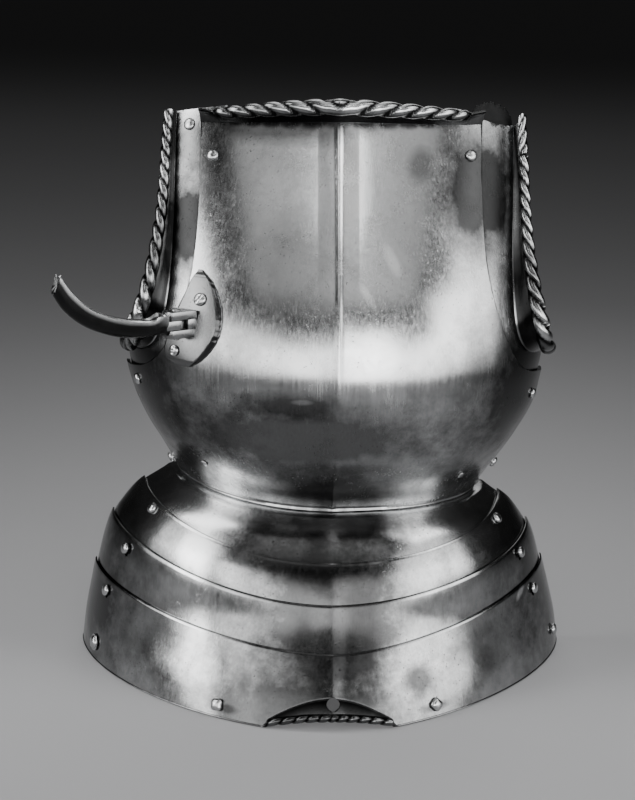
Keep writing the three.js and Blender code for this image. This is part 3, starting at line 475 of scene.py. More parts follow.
def breast_plate():
    """The chest form from the waist crease to the neck, then the out-turned neck and its rope."""
    u = mirrored(BREAST_COLUMNS)
    s = np.concatenate([np.linspace(0, 5, 34)[:-1], np.linspace(5, 9, 34)[:-1],
                        np.linspace(9, 15, 44)])[None, :]
    outer, n = breast_faces(u, s, 0.0)
    inner = breast_faces(u, s[:, ::3], -BREAST_WALL)[0]
    r = np.abs(u)
    level_n = unit(n[:, -1] * [1, 1, 0])
    up = np.array([0.0, 0.0, 1.0])
    root = (outer[:, -1] + inner[:, -1]) / 2
    out, rise = read(NECK, "at", r, "out")[:, None], read(NECK, "at", r, "rise")[:, None]
    centre = root + level_n * out + up * rise
    bend = root + level_n * out * 0.30 + up * rise * 0.62
    front, rear, back = border(root, bend, centre, 9, np.cross(up, level_n), level_n, BREAST_WALL)
    rows = outer.shape[1]
    outer, inner = np.concatenate([outer, front], 1), np.concatenate([inner, rear], 1)
    cross = unit(level_n - back * (level_n * back).sum(-1, keepdims=True))
    radius = read(NECK, "at", r, "rope")
    phase = 7.55 * r - 0.55 * r * r
    relief = 0.17 * smooth((NECK_ROPE_END - r) / 0.04)
    ring, high = rope(centre, back, cross, radius, BREAST_WALL, 26, phase, NECK_LEAN, relief,
                      NECK_SHADE)
    piece, loop = plate("breastplate_shell", outer, inner, ring)
    end = outer.shape[1]
    # Painted shade: the turned-out flange darkest in the middle of the neck, the rope dark in its
    # grooves and lower side, and darker past the rope's end.
    flange_painted_shade = 0.08 + 0.42 * smooth((r[:, None] - 0.5) / 0.3)
    rope_painted_shade = high * (1 - 0.85 * smooth((r[:, None] - NECK_ROPE_END + 0.02) / 0.03))
    mark_painted_shade(piece, loop, (rows, end, flange_painted_shade), (end, end + ring.shape[1], rope_painted_shade))
    return piece


breast = breast_plate()
print("main plate:", len(breast.data.polygons), "faces")

# %% [markdown]
# A gusset lies inside the main plate's arm opening. Its free edge flares out in a hollow curve and
# ends in a roped roll. The wearer's left one is torn at the top, so its rows sink there.


# %% Arm gussets
GUSSET_ROWS, GUSSET_ROPE_LEAN, GUSSET_ROPE_RELIEF = 11, 2.3, 0.20


def gusset_face(side, at, value, turn_end, torn, k, by):
    """Points of a gusset at a level: k goes from the hidden edge, 0, to the crease, 1. The torn top
    sinks, and ends in a ragged line made of three sines."""
    turn = value["hidden"][:, None] + (turn_end - value["hidden"])[:, None] * k
    z = (value["hiddenZ"][:, None] + (value["z"] - value["hiddenZ"])[:, None] * k
         - torn[:, None] * smooth(1.6 * k))
    if side == LEFT:
        ragged = np.sin(31 * k) + 0.6 * np.sin(67 * k + 1) + 0.4 * np.sin(113 * k + 2)
        z = z + 0.9 * ragged * smooth(1 - at[:, None] / 0.25)
    return hammered(chest_form, side, turn, z, np.full(z.shape, by), HAMMER_GUSSET), turn


def gusset_plate(side, name):
    """Columns follow the arm edge from the neck down to the side; rows go from the hidden edge to
    the crease, along the hollow flare and round the rope."""
    at = np.linspace(0, GUSSET_ROWS, 236)
    value = {c: read(GUSSET, "row", at, c) for c in GUSSET}
    torn = TORN_DIP * np.maximum(0, 1 - at / 1.5) if side == LEFT else 0 * at
    turn_end = value["round"] + (1 if side == LEFT else -0.7) * value["more"]
    level = -BREAST_WALL - GUSSET_SLIP
    k = np.linspace(0, 1, 37)[None, :]
    outer, turn = gusset_face(side, at, value, turn_end, torn, k, level)
    inner = gusset_face(side, at, value, turn_end, torn, k[:, ::4], level - GUSSET_WALL)[0]

    def path(c):
        c = np.clip(c, 0, GUSSET_ROWS)
        return chest_form(side, read(GUSSET, "row", c, "round"), read(GUSSET, "row", c, "z"))

    along = unit(path(at + 0.2) - path(at - 0.2))
    n = outward(chest_form, side, turn_end, value["z"])
    away = unit(np.cross(along, n)) * (-1 if side == LEFT else 1)
    root = (outer[:, -1] + inner[:, -1]) / 2
    tuck = 1 - 0.4 * smooth((at - 6) / 4) if side == RIGHT else np.ones(len(at))
    flare = (value["flare"] * tuck)[:, None]
    lean = away * np.cos(GUSSET_LEAN) + n * np.sin(GUSSET_LEAN)
    low = away * np.cos(GUSSET_LEAN * 0.62) + n * np.sin(GUSSET_LEAN * 0.62)
    centre = root + lean * flare + np.array([0, 0, 1.0]) * torn[:, None]
    bend = root + low * flare * 0.55 + np.array([0, 0, 0.5]) * torn[:, None]
    front, rear, back = border(root, bend, centre, 11, along, n, GUSSET_WALL)
    outer, inner = np.concatenate([outer, front], 1), np.concatenate([inner, rear], 1)
    cross = unit(np.cross(back, along))
    cross = cross * np.sign((cross * n).sum(-1, keepdims=True))
    length = np.concatenate([[0], np.cumsum(np.linalg.norm(np.diff(centre, axis=0), axis=1))])
    phase = length / (11.0 + 3.2 * smooth(length / 260)) * (1 if side == RIGHT else -1)
    relief = np.full(len(at), GUSSET_ROPE_RELIEF)
    ring, high = rope(centre, back, cross, value["rope"], GUSSET_WALL, 24, phase,
                      GUSSET_ROPE_LEAN, relief)
    piece, loop = plate(name, outer, inner, ring)
    edge = np.interp(value["z"], BREAST["right" if side == RIGHT else "left"], BREAST["reach"])
    # Painted shadow of the main plate's arm edge: a dark line on the gusset beside it. Painted shade
    # in the hollow flare and on the rope.
    beside = 1 - 0.75 * np.exp(-((turn - edge[:, None]) / 0.012) ** 2)
    flare_painted_shade = 0.10 + 0.40 * np.exp(-((at[:, None] - 2.4) / 1.5) ** 2)
    end, rows = outer.shape[1], k.shape[1]
    mark_painted_shade(piece, loop, (0, rows, beside), (rows, end, flare_painted_shade),
               (end, end + ring.shape[1], high))
    return piece


gusset_right = gusset_plate(RIGHT, "gusset_right_shell")
gusset_left = gusset_plate(LEFT, "gusset_left_shell")
print("gusset:", len(gusset_right.data.polygons), "faces each")

# %% [markdown]
# The waist plate and the three lames are strips of the skirt form. Each lower one lies outside the
# one above it, a plate's thickness further out, so the skirt can close up like a telescope.

# %% Waist plate and skirt lames
LAP = LAME_WALL + LAME_SLIP
LAPS = {"lame1": LAP, "lame2": 2 * LAP, "lame3": 3 * LAP}
TUCK = 15.0      # how far a plate reaches up or down under its neighbour's edge


def band(name, face, rows):
    """A strip round the body; face(side, turn, row, depth) gives the points at a depth inside."""
    u = mirrored(BAND_COLUMNS)
    side, turn = sides_of(u)[:, None], np.abs(u)[:, None] * SIDE
    outer = face(side, turn, np.linspace(0, 1, rows)[None, :], 0.0)
    inner = face(side, turn, np.linspace(0, 1, rows // 3)[None, :], LAME_WALL)
    piece, loop = plate(name, outer[:, ::-1], inner[:, ::-1])
    mark_painted_shade(piece, loop)
    return piece


def waist_face(side, turn, row, depth):
    """Inside the main plate down to the crease, then out along the flare of the skirt."""
    side, turn, row = np.broadcast_arrays(side, turn, row)
    crease = edge_height("crease", side, turn)
    end = edge_height("lame1", side, turn) - TUCK - crease
    drop = np.where(row < 0.3, 36 - row / 0.3 * 36, (row - 0.3) / 0.7 * end)
    z = crease + drop
    chest_side = lift(chest_form, side, turn, np.maximum(z, crease), -BREAST_WALL - SLIP - depth)
    level = -2.35 + 2.85 * smooth(-drop / 4.5) - 0.5 * smooth((-drop - 4) / 8)
    skirt_side = lift(skirt_form, side, turn, np.minimum(z, crease), level - depth)
    points = np.where((drop > 0)[..., None], chest_side, skirt_side)
    return points + outward(skirt_form, side, turn, z) * planish(points, HAMMER_BAND)[..., None]


def lame_face(top, below, lap):
    """A lame from its own edge down to a lap under the next one."""
    def face(side, turn, row, depth):
        side, turn, row = np.broadcast_arrays(side, turn, row)
        a, b = edge_height(top, side, turn), edge_height(below, side, turn) - lap
        z = a + (b - a) * row
        return hammered(skirt_form, side, turn, z, LAPS[top] - depth, HAMMER_BAND)

    return face


waist = band("waist_plate_shell", waist_face, 42)
lame_1 = band("fauld_lame_1_shell", lame_face("lame1", "lame2", 20), 24)
lame_2 = band("fauld_lame_2_shell", lame_face("lame2", "lame3", 20), 24)
print("faces above the rim:", [len(p.data.polygons) for p in (waist, lame_1, lame_2)])

# %% [markdown]
# The lowest lame stands on the ground. In the middle its edge rises in a low arch with a fine rope,
# and the field above the arch is hammered down a little and darkened with painted shade. Its columns
# are closer together there, which the rest of the rim doesn't need.

# %% Lowest lame
ARCH_HALF, ARCH_RISE, ARCH_ROPE, ARCH_STRANDS = 0.2, 8.0, 3.1, 5.5
FIELD_TALL, FIELD_HALF, FIELD_SUNK = 11.0, 0.97 * ARCH_HALF, 0.4


def rim_lame():
    """The lowest lame: a plain rim on the ground and a shallow roped arch in the middle."""
    fine = ARCH_HALF * np.linspace(0, 1, 71)
    rest = ARCH_HALF + (SIDE - ARCH_HALF) * np.linspace(0, 1, 91)[1:]
    half = np.concatenate([fine, rest])
    u = np.concatenate([-half[:0:-1], half])
    side, turn = sides_of(u), np.abs(u)
    arch = np.maximum(0, 1 - (turn / ARCH_HALF) ** 2)
    roped = smooth((ARCH_HALF + 0.006 - turn) / 0.012)
    radius = 1.0 + (ARCH_ROPE - 1.0) * roped
    bottom = 0.42 + (ARCH_ROPE * 1.13 - 0.42) * roped + ARCH_RISE * arch
    top = edge_height("lame3", side, turn)
    level = LAPS["lame3"]
    crown = bottom + ARCH_ROPE + FIELD_TALL * (1 - (turn / FIELD_HALF) ** 2)

    def face(rows, by):
        k = 1 - (1 - np.linspace(0, 1, rows)[None, :]) ** 1.35
        z = top[:, None] + ((bottom + radius * 0.9) - top)[:, None] * k
        s, r, z = np.broadcast_arrays(side[:, None], turn[:, None], z)
        sunk = smooth((crown[:, None] - z) / 1.6) * (turn < FIELD_HALF)[:, None]
        points = lift_level(skirt_form, s, r, z, by - FIELD_SUNK * sunk)
        n = outward(skirt_form, s, r, z)
        return points + n * planish(points, HAMMER_RIM)[..., None], sunk

    outer, sunk = face(58, level)
    inner = face(12, level - LAME_WALL)[0]
    n = outward(skirt_form, side, turn, bottom)
    centre = lift_level(skirt_form, side, turn, bottom, level - LAME_WALL / 2 + radius * 0.3)
    root = (outer[:, -1] + inner[:, -1]) / 2
    back = unit(root - centre)
    cross = unit(n - back * (n * back).sum(-1, keepdims=True))
    phase = u / ARCH_HALF * ARCH_STRANDS
    ring, high = rope(centre, back, cross, radius, LAME_WALL * 0.9, 20, phase, 1.2, 0.13 * roped)
    ring[..., 2] = np.maximum(ring[..., 2], 0.0)
    piece, loop = plate("fauld_lame_3_shell", outer, inner, ring)
    # Painted shade in the sunk field above the arch, darkest along its upper edge, and on the rope.
    depth = np.clip((crown[:, None] - outer[..., 2]) / FIELD_TALL, 0, 1)
    end = outer.shape[1]
    mark_painted_shade(piece, loop, (0, end, 1 - sunk * (0.92 - 0.5 * depth ** 2)),
               (end, end + ring.shape[1], high))
    return piece


lame_3 = rim_lame()
print("lowest lame:", len(lame_3.data.polygons), "faces")

# %% [markdown]
# What is left of the left shoulder strap's backing is a scrap of dark iron behind the torn gusset.

# %% Strap backing
STRAP = table("turn top", (0.380, 447), (0.420, 462), (0.470, 474), (0.540, 478),
              (0.620, 476), (0.680, 472), (0.720, 466))
STRAP_WALL, STRAP_GAP = 1.4, 1.0


def strap_backing():
    """A small strip of the chest form under the gusset with a ragged upper edge."""
    turn = np.linspace(0.380, 0.720, 60)
    top = read(STRAP, "turn", turn, "top")
    top = top + 0.7 * np.sin(41 * turn * 3) + 0.5 * np.sin(97 * turn * 3)
    low = 430 + 60 * np.maximum(0, turn - 0.42)
    level = -BREAST_WALL - GUSSET_SLIP - GUSSET_WALL - STRAP_GAP

    def face(rows, by):
        z = low[:, None] + (top - low)[:, None] * np.linspace(0, 1, rows)[None, :]
        s, r, z = np.broadcast_arrays(np.full((60, 1), LEFT), turn[:, None], z)
        return lift(chest_form, s, r, z, np.full(z.shape, by))

    piece, loop = plate("strap_backing_left", face(12, level), face(5, level - STRAP_WALL))
    mark_painted_shade(piece, loop)
    return piece


strap = strap_backing()
print("strap's backing:", len(strap.data.polygons), "faces")

# %% [markdown]
# Rivets are turned profiles: a forged dome, a shank and a flat inner end. No hand-made head is
# quite round, so each gets its own slight swell. Screws have a filed slot across the head.


# %% Rivets, studs and screws
FIELDS = "name on side turn z head tall shank stack stand body"
STACKS = {"gusset": 4.9, "strap": 7.3, "waist": 3.95, "lame": 3.9, "single": 1.6, "screw": 8.65}
LEVELS = {"chest": (chest_form, 0), "scrap": (chest_form, -3.3), "moon": (chest_form, 3.75),
          "lame_1": (skirt_form, LAPS["lame1"]), "lame_2": (skirt_form, LAPS["lame2"]),
          "lame_3": (skirt_form, LAPS["lame3"])}
FASTENINGS = {row[0]: dict(zip(FIELDS.split(), row)) for row in (
    ("rivet_neck_right", "chest", RIGHT, 0.398, 434, 4.8, 3.0, 2.0, "gusset", 0.5, "trunk"),
    ("rivet_neck_left", "chest", LEFT, 0.408, 437, 4.8, 3.0, 2.0, "strap", 0.5, "trunk"),
    ("rivet_gusset_lower_right", "chest", RIGHT, 0.743, 251, 4.6, 3.0, 2.0, "gusset", 0.5, "trunk"),
    ("rivet_gusset_lower_left", "chest", LEFT, 0.740, 242, 4.6, 3.0, 2.0, "gusset", 0.5, "trunk"),
    ("rivet_strap_right", "scrap", RIGHT, 0.545, 457, 4.8, 2.2, 2.0, "single", 0.5, "trunk"),
    ("rivet_waist_side_right", "chest", RIGHT, 0.86, 173, 4.6, 3.2, 2.0, "waist", 1.1, "trunk"),
    ("rivet_waist_side_left", "chest", LEFT, 0.86, 172, 4.6, 3.2, 2.0, "waist", 1.1, "trunk"),
    ("rivet_waist_front_right", "chest", RIGHT, 0.504, 187, 3.2, 1.2, 1.6, "waist", 0.5, "trunk"),
    ("rivet_waist_front_left", "chest", LEFT, 0.508, 178, 3.2, 1.2, 1.6, "waist", 0.5, "trunk"),
    ("rivet_lame_1_right", "lame_1", RIGHT, 0.685, 137, 4.6, 3.2, 2.0, "lame", 0.5, "trunk"),
    ("rivet_lame_1_left", "lame_1", LEFT, 0.685, 130, 4.6, 3.2, 2.0, "lame", 0.5, "trunk"),
    ("rivet_lame_2_right", "lame_2", RIGHT, 0.702, 103, 4.8, 3.0, 2.0, "lame", 1.7, "trunk"),
    ("rivet_lame_2_left", "lame_2", LEFT, 0.702, 101, 4.8, 3.0, 2.0, "lame", 1.7, "trunk"),
    ("rivet_lame_3_right", "lame_3", RIGHT, 0.762, 61, 4.8, 3.0, 2.0, "lame", 1.1, "lame_2"),
    ("rivet_lame_3_left", "lame_3", LEFT, 0.740, 66, 4.8, 3.0, 2.0, "lame", 1.1, "lame_2"),
    ("rivet_rim_right", "lame_3", RIGHT, 0.789, 13, 5.6, 3.4, 2.2, "single", 1.0, "lame_3"),
    ("rivet_rim_left", "lame_3", LEFT, 0.850, 18, 5.0, 3.4, 2.2, "single", 1.0, "lame_3"),
    ("stud_tasset_right", "lame_3", RIGHT, 0.328, 7.0, 5.2, 3.6, 2.4, "single", 1.0, "lame_3"),
    ("stud_tasset_left", "lame_3", LEFT, 0.320, 7.0, 5.2, 3.6, 2.4, "single", 1.0, "lame_3"),
    ("lance_rest_screw_upper", "moon", RIGHT, 0.386, 327, 5.2, 2.6, 2.4, "screw", 0.5, "trunk"),
    ("lance_rest_screw_lower", "moon", RIGHT, 0.478, 286.5, 4.4, 2.4, 2.2, "screw", 0.5, "trunk"),
)}
WASHERS = {"rivet_rim_right": 7.2}
SLOTS = {"lance_rest_screw_upper": 0.95, "lance_rest_screw_lower": 1.5}
SLOT_HALF, SLOT_FLOOR = 0.9, 0.45
TURNED = 32


print("names in the table of fastenings:", len(FASTENINGS))


# %% Turned fastenings
def seat(f):
    """The point of its plate where a fastening stands, and three axes there: across, up the plate
    and outward."""
    form, level = LEVELS[f["on"]]
    n = outward(form, f["side"], f["turn"], f["z"])
    up = unit(np.array([0, 0, 1.0]) - n * n[2])
    point = lift(form, f["side"], f["turn"], f["z"], level)
    return point, np.stack([np.cross(up, n), up, n])


def turned_profile(f):
    """Radius and height down a fastening: domed head, a washer where it has one, shank and end."""
    head, stand, shank = f["head"], f["stand"], f["shank"]
    end = -STACKS[f["stack"]] - 1.8
    a = np.linspace(0, np.pi / 2, 9)[1:]
    rise = (f["tall"] - 0.35) * np.cos(a) ** 0.85
    dome = np.stack([head * np.sin(a) ** 0.9, stand + 0.35 + rise], 1)
    if f["name"] in WASHERS:
        washer = WASHERS[f["name"]]
        dome[-1] = [head, stand + 0.75]
        dome = np.concatenate([dome, [[washer - 0.3, stand + 0.7], [washer, stand + 0.4]]])
    rim = dome[-1, 0]
    return np.concatenate([dome, [
        [rim * 0.99, stand + 0.12], [rim * 0.95, stand], [shank, stand], [shank, end + 0.2],
        [shank + 1.3, end], [shank + 1.3, end - 0.7], [shank + 0.6, end - 1.0]]])


def fastening(f):
    """A turned profile; the head's radius swells a little twice and three times round it, and a
    stud's four times. A screw's head sinks along a straight slot."""
    profile, b, stand = turned_profile(f), circle(TURNED), f["stand"]
    seed = np.random.default_rng(sum(map(ord, f["name"])))
    swell = 1 + 0.018 * np.cos(2 * b + seed.uniform(0, 6))
    swell = swell + 0.012 * np.cos(3 * b + seed.uniform(0, 6))
    if f["name"].startswith("stud"):
        swell = swell + 0.09 * np.cos(4 * b + seed.uniform(0, 6))
    r = profile[:, :1] * np.where(profile[:, 1:] > stand - 0.01, swell[None, :], 1.0)
    local = stack(r * np.cos(b), r * np.sin(b), profile[:, 1:] + 0 * r)
    top = stand + f["tall"]
    if f["name"] in SLOTS:
        angle, top = SLOTS[f["name"]], stand + f["tall"] * SLOT_FLOOR
        across = np.abs(-np.sin(angle) * local[..., 0] + np.cos(angle) * local[..., 1])
        sunk = (across < SLOT_HALF) & (local[..., 2] > stand + 0.5)
        local[..., 2] = np.where(sunk, np.minimum(local[..., 2], top), local[..., 2])
    points = np.concatenate([[[0, 0, top]], local.reshape(-1, 3), [[0, 0, profile[-1, 1]]]])
    point, axes = seat(f)
    faces = capped_faces(len(profile), TURNED)
    return put_mesh(f["name"] + "_turned", points @ axes + point, faces, 35.0)


fasteners = {name: fastening(f) for name, f in FASTENINGS.items()}
print("fastenings:", len(fasteners))

# %% [markdown]
# A rivet between two lames runs in an upright slot, so the skirt can close up. The slots and the
# round hole above the arch are cut with Blender's exact boolean, because a cut through a curved
# wall is awkward to lay out on a grid.


# %% Slots and the round hole
SLOT_TRAVEL, HOLE_RADIUS, HOLE_SIDES = 4.2, 5.1, 16


def prism(outline, point, axes, depth):
    """A closed prism: an outline in a plate's own plane, run through the plate along its normal."""
    n = len(outline)
    flat = np.concatenate([np.c_[outline, np.full(n, depth)], np.c_[outline, np.full(n, -depth)]])
    k = np.arange(n)
    walls = np.stack([k, (k + 1) % n, n + (k + 1) % n, n + k], 1)
    caps = [np.arange(n)[None, :], (n + np.arange(n))[None, ::-1]]
    return put_mesh("cutter", flat @ axes + point, [walls[:, ::-1]] + caps)


def cut(piece, cutters):
    """Takes prisms out of a piece and removes them."""
    for c in cutters:
        m = piece.modifiers.new("cut", "BOOLEAN")
        m.operation, m.solver, m.object = "DIFFERENCE", "EXACT", c
    view = bpy.context.evaluated_depsgraph_get()
    mesh = bpy.data.meshes.new_from_object(piece.evaluated_get(view))
    piece.modifiers.clear()
    piece.data = mesh
    mesh.set_sharp_from_angle(angle=np.radians(38))
    for c in cutters:
        bpy.data.objects.remove(c)


def slot_cutter(name):
    """An upright slot as long as the lame's travel, with round ends."""
    r, a = FASTENINGS[name]["shank"] + 0.5, np.linspace(0, np.pi, 9)
    outline = np.concatenate([np.c_[r * np.cos(a), r * np.sin(a)],
                              np.c_[r * np.cos(a + np.pi), r * np.sin(a + np.pi) - SLOT_TRAVEL]])
    return prism(outline, *seat(FASTENINGS[name]), 8.0)


cut(lame_2, [slot_cutter("rivet_lame_2_right"), slot_cutter("rivet_lame_2_left")])
hole_point = lift(skirt_form, LEFT, 0.003, 17.6, LAPS["lame3"])
hole_angle = circle(HOLE_SIDES, 0.5)
hole_edge = HOLE_RADIUS * (1 + 0.03 * np.cos(4 * hole_angle))
hole = prism(np.c_[hole_edge * np.cos(hole_angle), hole_edge * np.sin(hole_angle)], hole_point,
             np.array([[1.0, 0, 0], [0, 0, 1.0], [0, -1.0, 0]]), 15.0)
cut(lame_3, [slot_cutter("rivet_lame_3_right"), slot_cutter("rivet_lame_3_left"), hole])
print("cut lames:", len(lame_2.data.polygons), "and", len(lame_3.data.polygons), "faces")

# %% [markdown]
# The lance rest took the weight and the shock of a lance. A half-moon plate is screwed to the
# chest, a fork stands on it, and a curved arm folds between the fork's cheeks on an upright pin.
# The arm's stop is the flat shoulder that meets the cheeks.

# %% Half-moon plate
MOON = table("z left right", (349, 0.404, 0.394), (341, 0.428, 0.355), (330, 0.452, 0.330),
             (317, 0.480, 0.316), (303, 0.505, 0.322), (291, 0.527, 0.348), (281, 0.528, 0.388),
             (275, 0.482, 0.428))


def moon_plate():
    """A pad that follows the chest, full in the middle and bevelled to a thin filed edge."""
    z = 275 + 74 * (0.5 - 0.5 * np.cos(np.pi * np.linspace(0, 1, 90)))
    left, right = read(MOON, "z", z, "left"), read(MOON, "z", z, "right")
    notch = np.clip(np.sin(z * 0.93 + 0.8) + 0.5 * np.sin(z * 2.1), 0, 1.5) ** 2
    right = right + 0.0009 * notch * smooth((z - 283) / 8) * smooth((345 - z) / 8)
    k = np.linspace(0, 1, 61)[None, :]
    turn = left[:, None] + (right - left)[:, None] * k
    end = smooth((z - 275) / 5)[:, None] * smooth((349 - z) / 6)[:, None]
    bevel = smooth(k / 0.06) * smooth((1 - k) / 0.09)
    nick = 0.3 * np.clip(np.sin(z * 1.1)[:, None] + 0.6 * np.sin(z * 2.3)[:, None], 0, 2)
    height = 1.4 + 2.0 * end * bevel - nick * smooth((k - 0.90) / 0.07)
    s, turn, zz = np.broadcast_arrays(np.full((1, 1), RIGHT), turn, z[:, None])
    outer = lift(chest_form, s, turn, zz, SLIP + height)
    inner = lift(chest_form, s, turn, zz, np.full(zz.shape, SLIP))[:, ::4]
    piece, loop = plate("lance_rest_plate", outer, inner, sharp=50)
    # Painted shade: a dark band along the bevelled outer edge.
    mark_painted_shade(piece, loop, (56, outer.shape[1], 0.35))
    return piece


moon = moon_plate()
print("half-moon plate:", len(moon.data.polygons), "faces")

# %% [markdown]
# The fork and the arm are drawn in the hinge's own frame: along the folded-down arm, across it and
# up the pin. That frame turns with the chest's normal, so the fork stands square on the plate.


# %% The hinge's own frame, and slabs in it
CHEEK_END, CHEEK_HALF, CHEEK, TONGUE, JOINT_GAP, PIN_RADIUS = 9.0, 6.5, 6.6, 7.2, 0.35, 2.6
CHEEK_MID = TONGUE / 2 + JOINT_GAP + CHEEK / 2
side_line = turned_about_z(arm_line, np.pi / 2)
HINGE = np.array([arm_line, side_line, [0, 0, 1.0]])


def on_pin(points):
    """Points given along the arm, across it and up from the pin, brought to the breastplate."""
    return np.asarray(points, float) @ HINGE + pin_point


def softened(outline, radius, steps=3):
    """An outline with its corners rounded: each corner gives points on a small curve."""
    p = np.asarray(outline, float)
    before, after = np.roll(p, 1, 0) - p, np.roll(p, -1, 0) - p
    room = np.minimum(np.linalg.norm(before, axis=1), np.linalg.norm(after, axis=1)) * 0.45
    r = np.minimum(radius, room)[:, None]
    a, c = p + unit(before) * r, p + unit(after) * r
    t = np.linspace(0, 1, steps)[None, :, None]
    return bezier(a[:, None], p[:, None], c[:, None], t).reshape(-1, 2)


def slab(name, outline, low, high, hole_radius=0.0, bevel=0.7):
    """A forged slab: a flat outline between two heights, its rims rounded by shrinking the outline
    a little at top and bottom. A round hole for the pin runs through it where one is asked for."""
    line = softened(outline, 1.6)
    inside = unit(np.roll(line, -1, 0) - np.roll(line, 1, 0)) @ np.array([[0, 1.0], [-1.0, 0]])
    turn = np.sign(np.cross(line, np.roll(line, -1, 0)).sum())
    steps = [(bevel, low), (bevel * 0.3, low + bevel * 0.3), (0, low + bevel), (0, high - bevel),
             (bevel * 0.3, high - bevel * 0.3), (bevel, high)]
    rings = [np.c_[line - inside * turn * -shrink, np.full(len(line), z)] for shrink, z in steps]
    n = len(line)
    points = np.concatenate(rings)
    faces = [grid_faces(len(rings), n), np.arange(n)[None, :],
             ((len(rings) - 1) * n + np.arange(n))[None, ::-1]]
    piece = put_mesh(name, on_pin(points), faces, 42)
    if hole_radius:
        a = circle(TURNED)
        ring = np.c_[hole_radius * np.cos(a), hole_radius * np.sin(a)]
        cut(piece, [prism(ring, pin_point, HINGE, 40.0)])
    return piece


print("hinge's axes:", HINGE.round(2).tolist())

# %% Fork
FOOT = 3.1


def foot_at(y):
    """Where the fork's foot ends so that it lies in the half-moon plate, for a place across it."""
    return -PIN_ALONG + (FOOT + y * np.sin(ARM_TURN)) / np.cos(ARM_TURN)


bend_points = [(CHEEK_END * np.cos(a), CHEEK_END * np.sin(a)) for a in np.pi / 12 * np.arange(1, 4)]
cheek_line = [(foot_at(-CHEEK_HALF), -CHEEK_HALF), (CHEEK_END, -CHEEK_HALF), (CHEEK_END, 0),
              *bend_points, (CHEEK_HALF * 0.9, CHEEK_HALF), (foot_at(CHEEK_HALF), CHEEK_HALF)]
block_line = [(foot_at(-CHEEK_HALF), -CHEEK_HALF), (-7.2, -CHEEK_HALF), (-7.2, CHEEK_HALF),
              (foot_at(CHEEK_HALF), CHEEK_HALF)]
hole_size = PIN_RADIUS + JOINT_GAP
cheek_top = slab("lance_rest_cheek_upper", cheek_line, CHEEK_MID - CHEEK / 2,
                 CHEEK_MID + CHEEK / 2, hole_size, 0.5)
cheek_low = slab("lance_rest_cheek_lower", cheek_line, -CHEEK_MID - CHEEK / 2,
                 -CHEEK_MID + CHEEK / 2, hole_size, 0.5)
block = slab("lance_rest_block", block_line, -CHEEK_MID + CHEEK / 2 - 0.2,
             CHEEK_MID - CHEEK / 2 + 0.2)

print("fork:", [len(p.data.polygons) for p in (cheek_top, cheek_low, block)], "faces")

# %% Arm
ARM = table("along top bottom half",
    (25.4, 8.6, -8.6, 6.0), (30.0, 9.4, -6.6, 6.2), (38.8, 6.0, -7.2, 5.6), (50.0, 6.8, -7.2, 5.4),
    (61.5, 8.8, -6.0, 5.4), (77.0, 13.4, -1.6, 5.2), (95.0, 22.0, 7.0, 5.0),
    (110.0, 35.0, 20.0, 4.6), (119.0, 47.5, 34.0, 4.2))


def arm_bar():
    """Sections along the bar: a hollowed upper face between two crisp edges, a full front and a
    rounded belly. The end is broken off rough."""
    along = np.concatenate([np.linspace(25.4, 34, 14)[:-1], np.linspace(34, 119, 110)])
    top, low, half = (read(ARM, "along", along, c) for c in ("top", "bottom", "half"))
    t = np.linspace(0, 1, 8)[1:-1]
    belly = np.pi * np.linspace(0, 1, 17)[1:-1]
    y = np.concatenate([[0.86, 0.99, 1.0, 1.0], np.cos(belly) * 0.98, [-1.0, -1.0, -0.99, -0.86],
                        -0.86 + 1.72 * t])
    k = np.concatenate([[1.0, 0.93, 0.7, 0.42], 0.38 - 0.38 * np.sin(belly) ** 0.8,
                        [0.42, 0.7, 0.93, 1.0], 1.0 - 0.13 * np.sin(np.pi * t)])
    facet = smooth((36 - along) / 10)[:, None]
    lean = np.maximum(0, along - 70)[:, None] * 0.10
    x = along[:, None] - PIN_ALONG - lean * (k[None, :] - 0.5)
    yy = half[:, None] * y[None, :] * (1 - 0.18 * facet * (k[None, :] < 0.5))
    z = low[:, None] + (top - low)[:, None] * k[None, :]
    points = stack(x, yy, z)
    points[-1, :, 0] -= 0.9 + 0.8 * np.sin(9 * y) * np.cos(7 * k)
    points[-2, :, 1:2] *= 0.98
    first, last = points[0].mean(0), points[-1].mean(0) - [1.4, 0, 0]
    points = np.concatenate([[first], points.reshape(-1, 3), [last]])
    piece = put_mesh("lance_rest_arm_bar", on_pin(points), capped_faces(len(along), len(k)), 32)
    # Painted light on the arm: the top face and, near the pin, the upper half kept bright; the rest
    # darkened as painted shade.
    painted_top_light = np.where(k > 0.9, 1.0, 0.12)[None, :] + 0.6 * facet * (k > 0.5)[None, :]
    mark(piece, "crest", np.concatenate([[1.0], np.minimum(painted_top_light, 1).ravel(), [0.4]]))
    return piece


arm = arm_bar()
print("lance rest arm:", len(arm.data.polygons), "faces")

# %% Tongue and hinge pin
tongue_a = np.pi / 2 + np.pi * np.linspace(0, 1, 15)
tongue_r = CHEEK_HALF - 0.3
tongue_line = ([(tongue_r * np.cos(a), tongue_r * np.sin(a)) for a in tongue_a]
               + [(CHEEK_END + 2.2, -5.3), (CHEEK_END + 2.2, 5.3)])
tongue = slab("lance_rest_tongue", tongue_line, -TONGUE / 2, TONGUE / 2, hole_size, 0.3)


